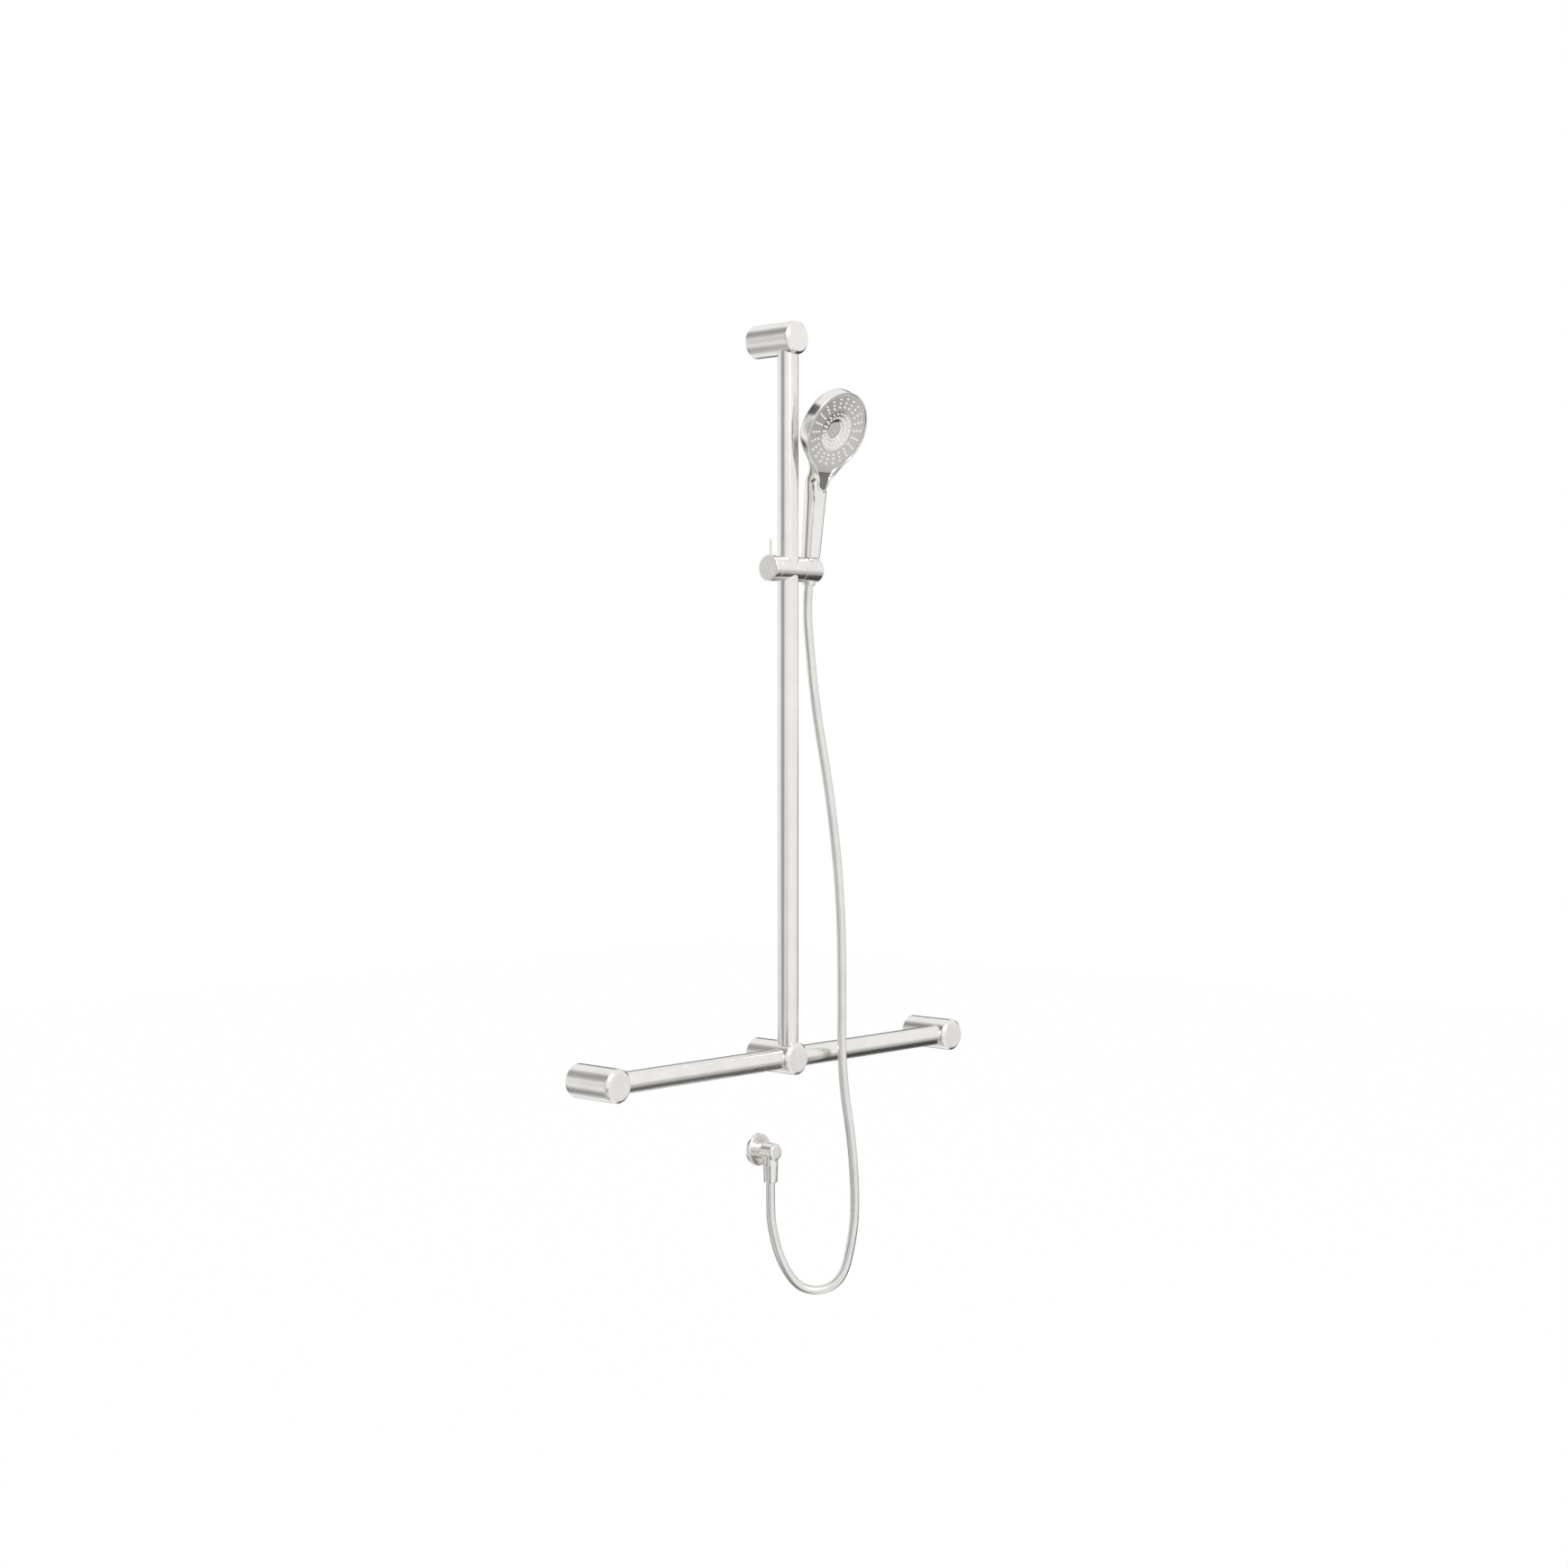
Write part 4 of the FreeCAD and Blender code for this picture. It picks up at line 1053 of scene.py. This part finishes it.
def hose_rings(line):
    """Rings square to the line that don't twist along it."""
    ahead = np.gradient(line, axis=0)
    ahead /= np.linalg.norm(ahead, axis=1)[:, None]
    side = np.array(RIGHT, float)
    angles = np.linspace(0, 2 * pi, hose_points, endpoint=False)
    rows = []
    for p, a in zip(line, ahead):
        side = side - a * (side @ a)
        side /= np.linalg.norm(side)
        up = np.cross(a, side)
        rows.append([p + hose_r * (side * cos(t) + up * sin(t)) for t in angles])
    return rows


def blend_line(first, last, low, high):
    """Ends of a blend that passes two points at the shares low and high."""
    first, last = Vector(first) * MM, Vector(last) * MM
    whole = (last - first) / (high - low)
    start = first - whole * low
    return start, start + whole


def make_hose():
    """Five lengths of one hose, parted after its leg and at set heights as it rises, each baked in place."""
    line = hose_line()
    rows = hose_rings(line)
    run = np.cumsum(np.linalg.norm(np.diff(line, axis=0), axis=1))
    leg = int(np.argmax(run > hose_leg)) + 1
    rising = np.arange(len(line)) > np.argmin(line[:, 2])
    foot, top, turn = [int(np.argmax(rising & (line[:, 2] > z))) for z in hose_splits]
    ahead = Vector(line[leg + 1] - line[leg - 1]).normalized()
    below = Vector(line[0]) + ahead * Vector(line[leg] - line[0]).dot(ahead)
    up = Vector(UP)
    above = Vector(line[leg]) + up * loop_even
    blends = [
        blend_line(line[0], below, 0, loop_share),
        blend_line(line[leg], above, loop_share, 1),
        blend_line(up * line[foot][2], up * line[top][2], loop_share, 1),
        blend_line(line[top], line[turn], 0, 1),
        blend_line(line[turn], line[-1], 0, 1),
    ]
    lengths = [
        ("hose_leg", 0, leg, "riser", "slider_liner"),
        ("hose_loop", leg, foot, "riser", "slider_liner"),
        ("hose_rise", foot, top, "riser", "slider_liner"),
        ("hose_middle", top, turn, "slider_liner", "slider"),
        ("hose_upper", turn, len(line) - 1, "slider", "handset"),
    ]
    for (name, first, last, body, next_body), (start, end) in zip(lengths, blends):
        piece = tidy(skin(name, rows[first:last + 1], lengthwise=True), 60)
        finish_of(piece, "hose_skin")
        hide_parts("hose")
        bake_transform(piece)


# Room, light and camera

def make_world():
    """White to the eye; softer and darker zones beside and below for the metal to mirror."""
    world = bpy.data.worlds.new("studio")
    bpy.context.scene.world = world
    world.use_nodes = True
    tree = world.node_tree
    ground = tree.nodes["Background"]
    coords = tree.nodes.new("ShaderNodeTexCoord")
    level = None
    for direction, inner, outer, depth in room_zones:
        dot = tree.nodes.new("ShaderNodeVectorMath")
        dot.operation = "DOT_PRODUCT"
        dot.inputs[1].default_value = Vector(direction).normalized()
        zone = tree.nodes.new("ShaderNodeMapRange")
        zone.interpolation_type = "SMOOTHSTEP"
        zone.inputs["From Min"].default_value = cos(radians(outer))
        zone.inputs["From Max"].default_value = cos(radians(inner))
        zone.inputs["To Min"].default_value = 1.0
        zone.inputs["To Max"].default_value = 1.0 - depth
        tree.links.new(coords.outputs["Generated"], dot.inputs[0])
        tree.links.new(dot.outputs["Value"], zone.inputs["Value"])
        if level is None:
            level = zone.outputs["Result"]
            continue
        both = tree.nodes.new("ShaderNodeMath")
        both.operation = "MULTIPLY"
        tree.links.new(level, both.inputs[0])
        tree.links.new(zone.outputs["Result"], both.inputs[1])
        level = both.outputs["Value"]
    path = tree.nodes.new("ShaderNodeLightPath")
    seen = tree.nodes.new("ShaderNodeMix")
    seen.inputs["B"].default_value = 1.0
    tree.links.new(path.outputs["Is Camera Ray"], seen.inputs["Factor"])
    tree.links.new(level, seen.inputs["A"])
    tree.links.new(seen.outputs["Result"], ground.inputs["Strength"])
    ground.inputs["Color"].default_value = (1, 1, 1, 1)


def make_floor():
    half, level = floor_half, floor_level
    corners = [(-half, -half, level), (half, -half, level), (half, half, level), (-half, half, level)]
    floor = make("floor", corners, [(0, 1, 2, 3)])
    mat, shader = new_material("floor", (0.9, 0.9, 0.9), 0.9)
    tree = mat.node_tree
    glow = tree.nodes.new("ShaderNodeEmission")
    mix = tree.nodes.new("ShaderNodeMixShader")
    path = tree.nodes.new("ShaderNodeLightPath")
    share = tree.nodes.new("ShaderNodeMath")
    share.operation = "MULTIPLY"
    share.inputs[1].default_value = floor_glow
    tree.links.new(path.outputs["Is Camera Ray"], share.inputs[0])
    tree.links.new(share.outputs["Value"], mix.inputs["Fac"])
    tree.links.new(shader.outputs["BSDF"], mix.inputs[1])
    tree.links.new(glow.outputs["Emission"], mix.inputs[2])
    tree.links.new(mix.outputs["Shader"], tree.nodes["Material Output"].inputs["Surface"])
    floor.data.materials.append(mat)
    floor.visible_glossy = False


def make_lamp():
    data = bpy.data.lights.new("key", "AREA")
    data.shape = "DISK"
    data.size = key_size
    data.energy = key_power
    lamp = bpy.data.objects.new("key", data)
    lamp.location = key_at
    lamp.rotation_euler = (Vector(key_aim) - Vector(key_at)).to_track_quat("-Z", "Y").to_euler()
    bpy.context.scene.collection.objects.link(lamp)


def make_camera():
    """A slight look down from the left front."""
    yaw, pitch = radians(camera_yaw), radians(camera_pitch)
    look = Vector((sin(yaw) * cos(pitch), cos(yaw) * cos(pitch), sin(pitch)))
    data = bpy.data.cameras.new("camera")
    data.sensor_fit = "HORIZONTAL"
    data.sensor_width = camera_sensor
    data.lens = camera_lens
    camera = bpy.data.objects.new("camera", data)
    camera.location = camera_at
    camera.rotation_euler = look.to_track_quat("-Z", "Y").to_euler()
    bpy.context.scene.collection.objects.link(camera)
    bpy.context.scene.camera = camera


def dress_nodes():
    """Materials for the pieces of the model that show as they are."""
    for node, piece in frame["nodes"].items():
        for slot in piece.material_slots:
            slot.material = materials[slot_of[node]]


def main():
    bpy.context.scene.view_settings.view_transform = "Standard"
    make_materials()
    dress_nodes()
    make_camera()
    make_hose()
    make_rails()
    make_posts()
    make_flange()
    make_elbow()
    make_outlet_nut()
    make_slider()
    make_clamp()
    make_holder()
    make_cone_nut()
    make_rim(make_shell())
    make_plate()
    make_nozzles()
    make_centre()
    make_button()
    make_world()
    make_floor()
    make_lamp()


main()
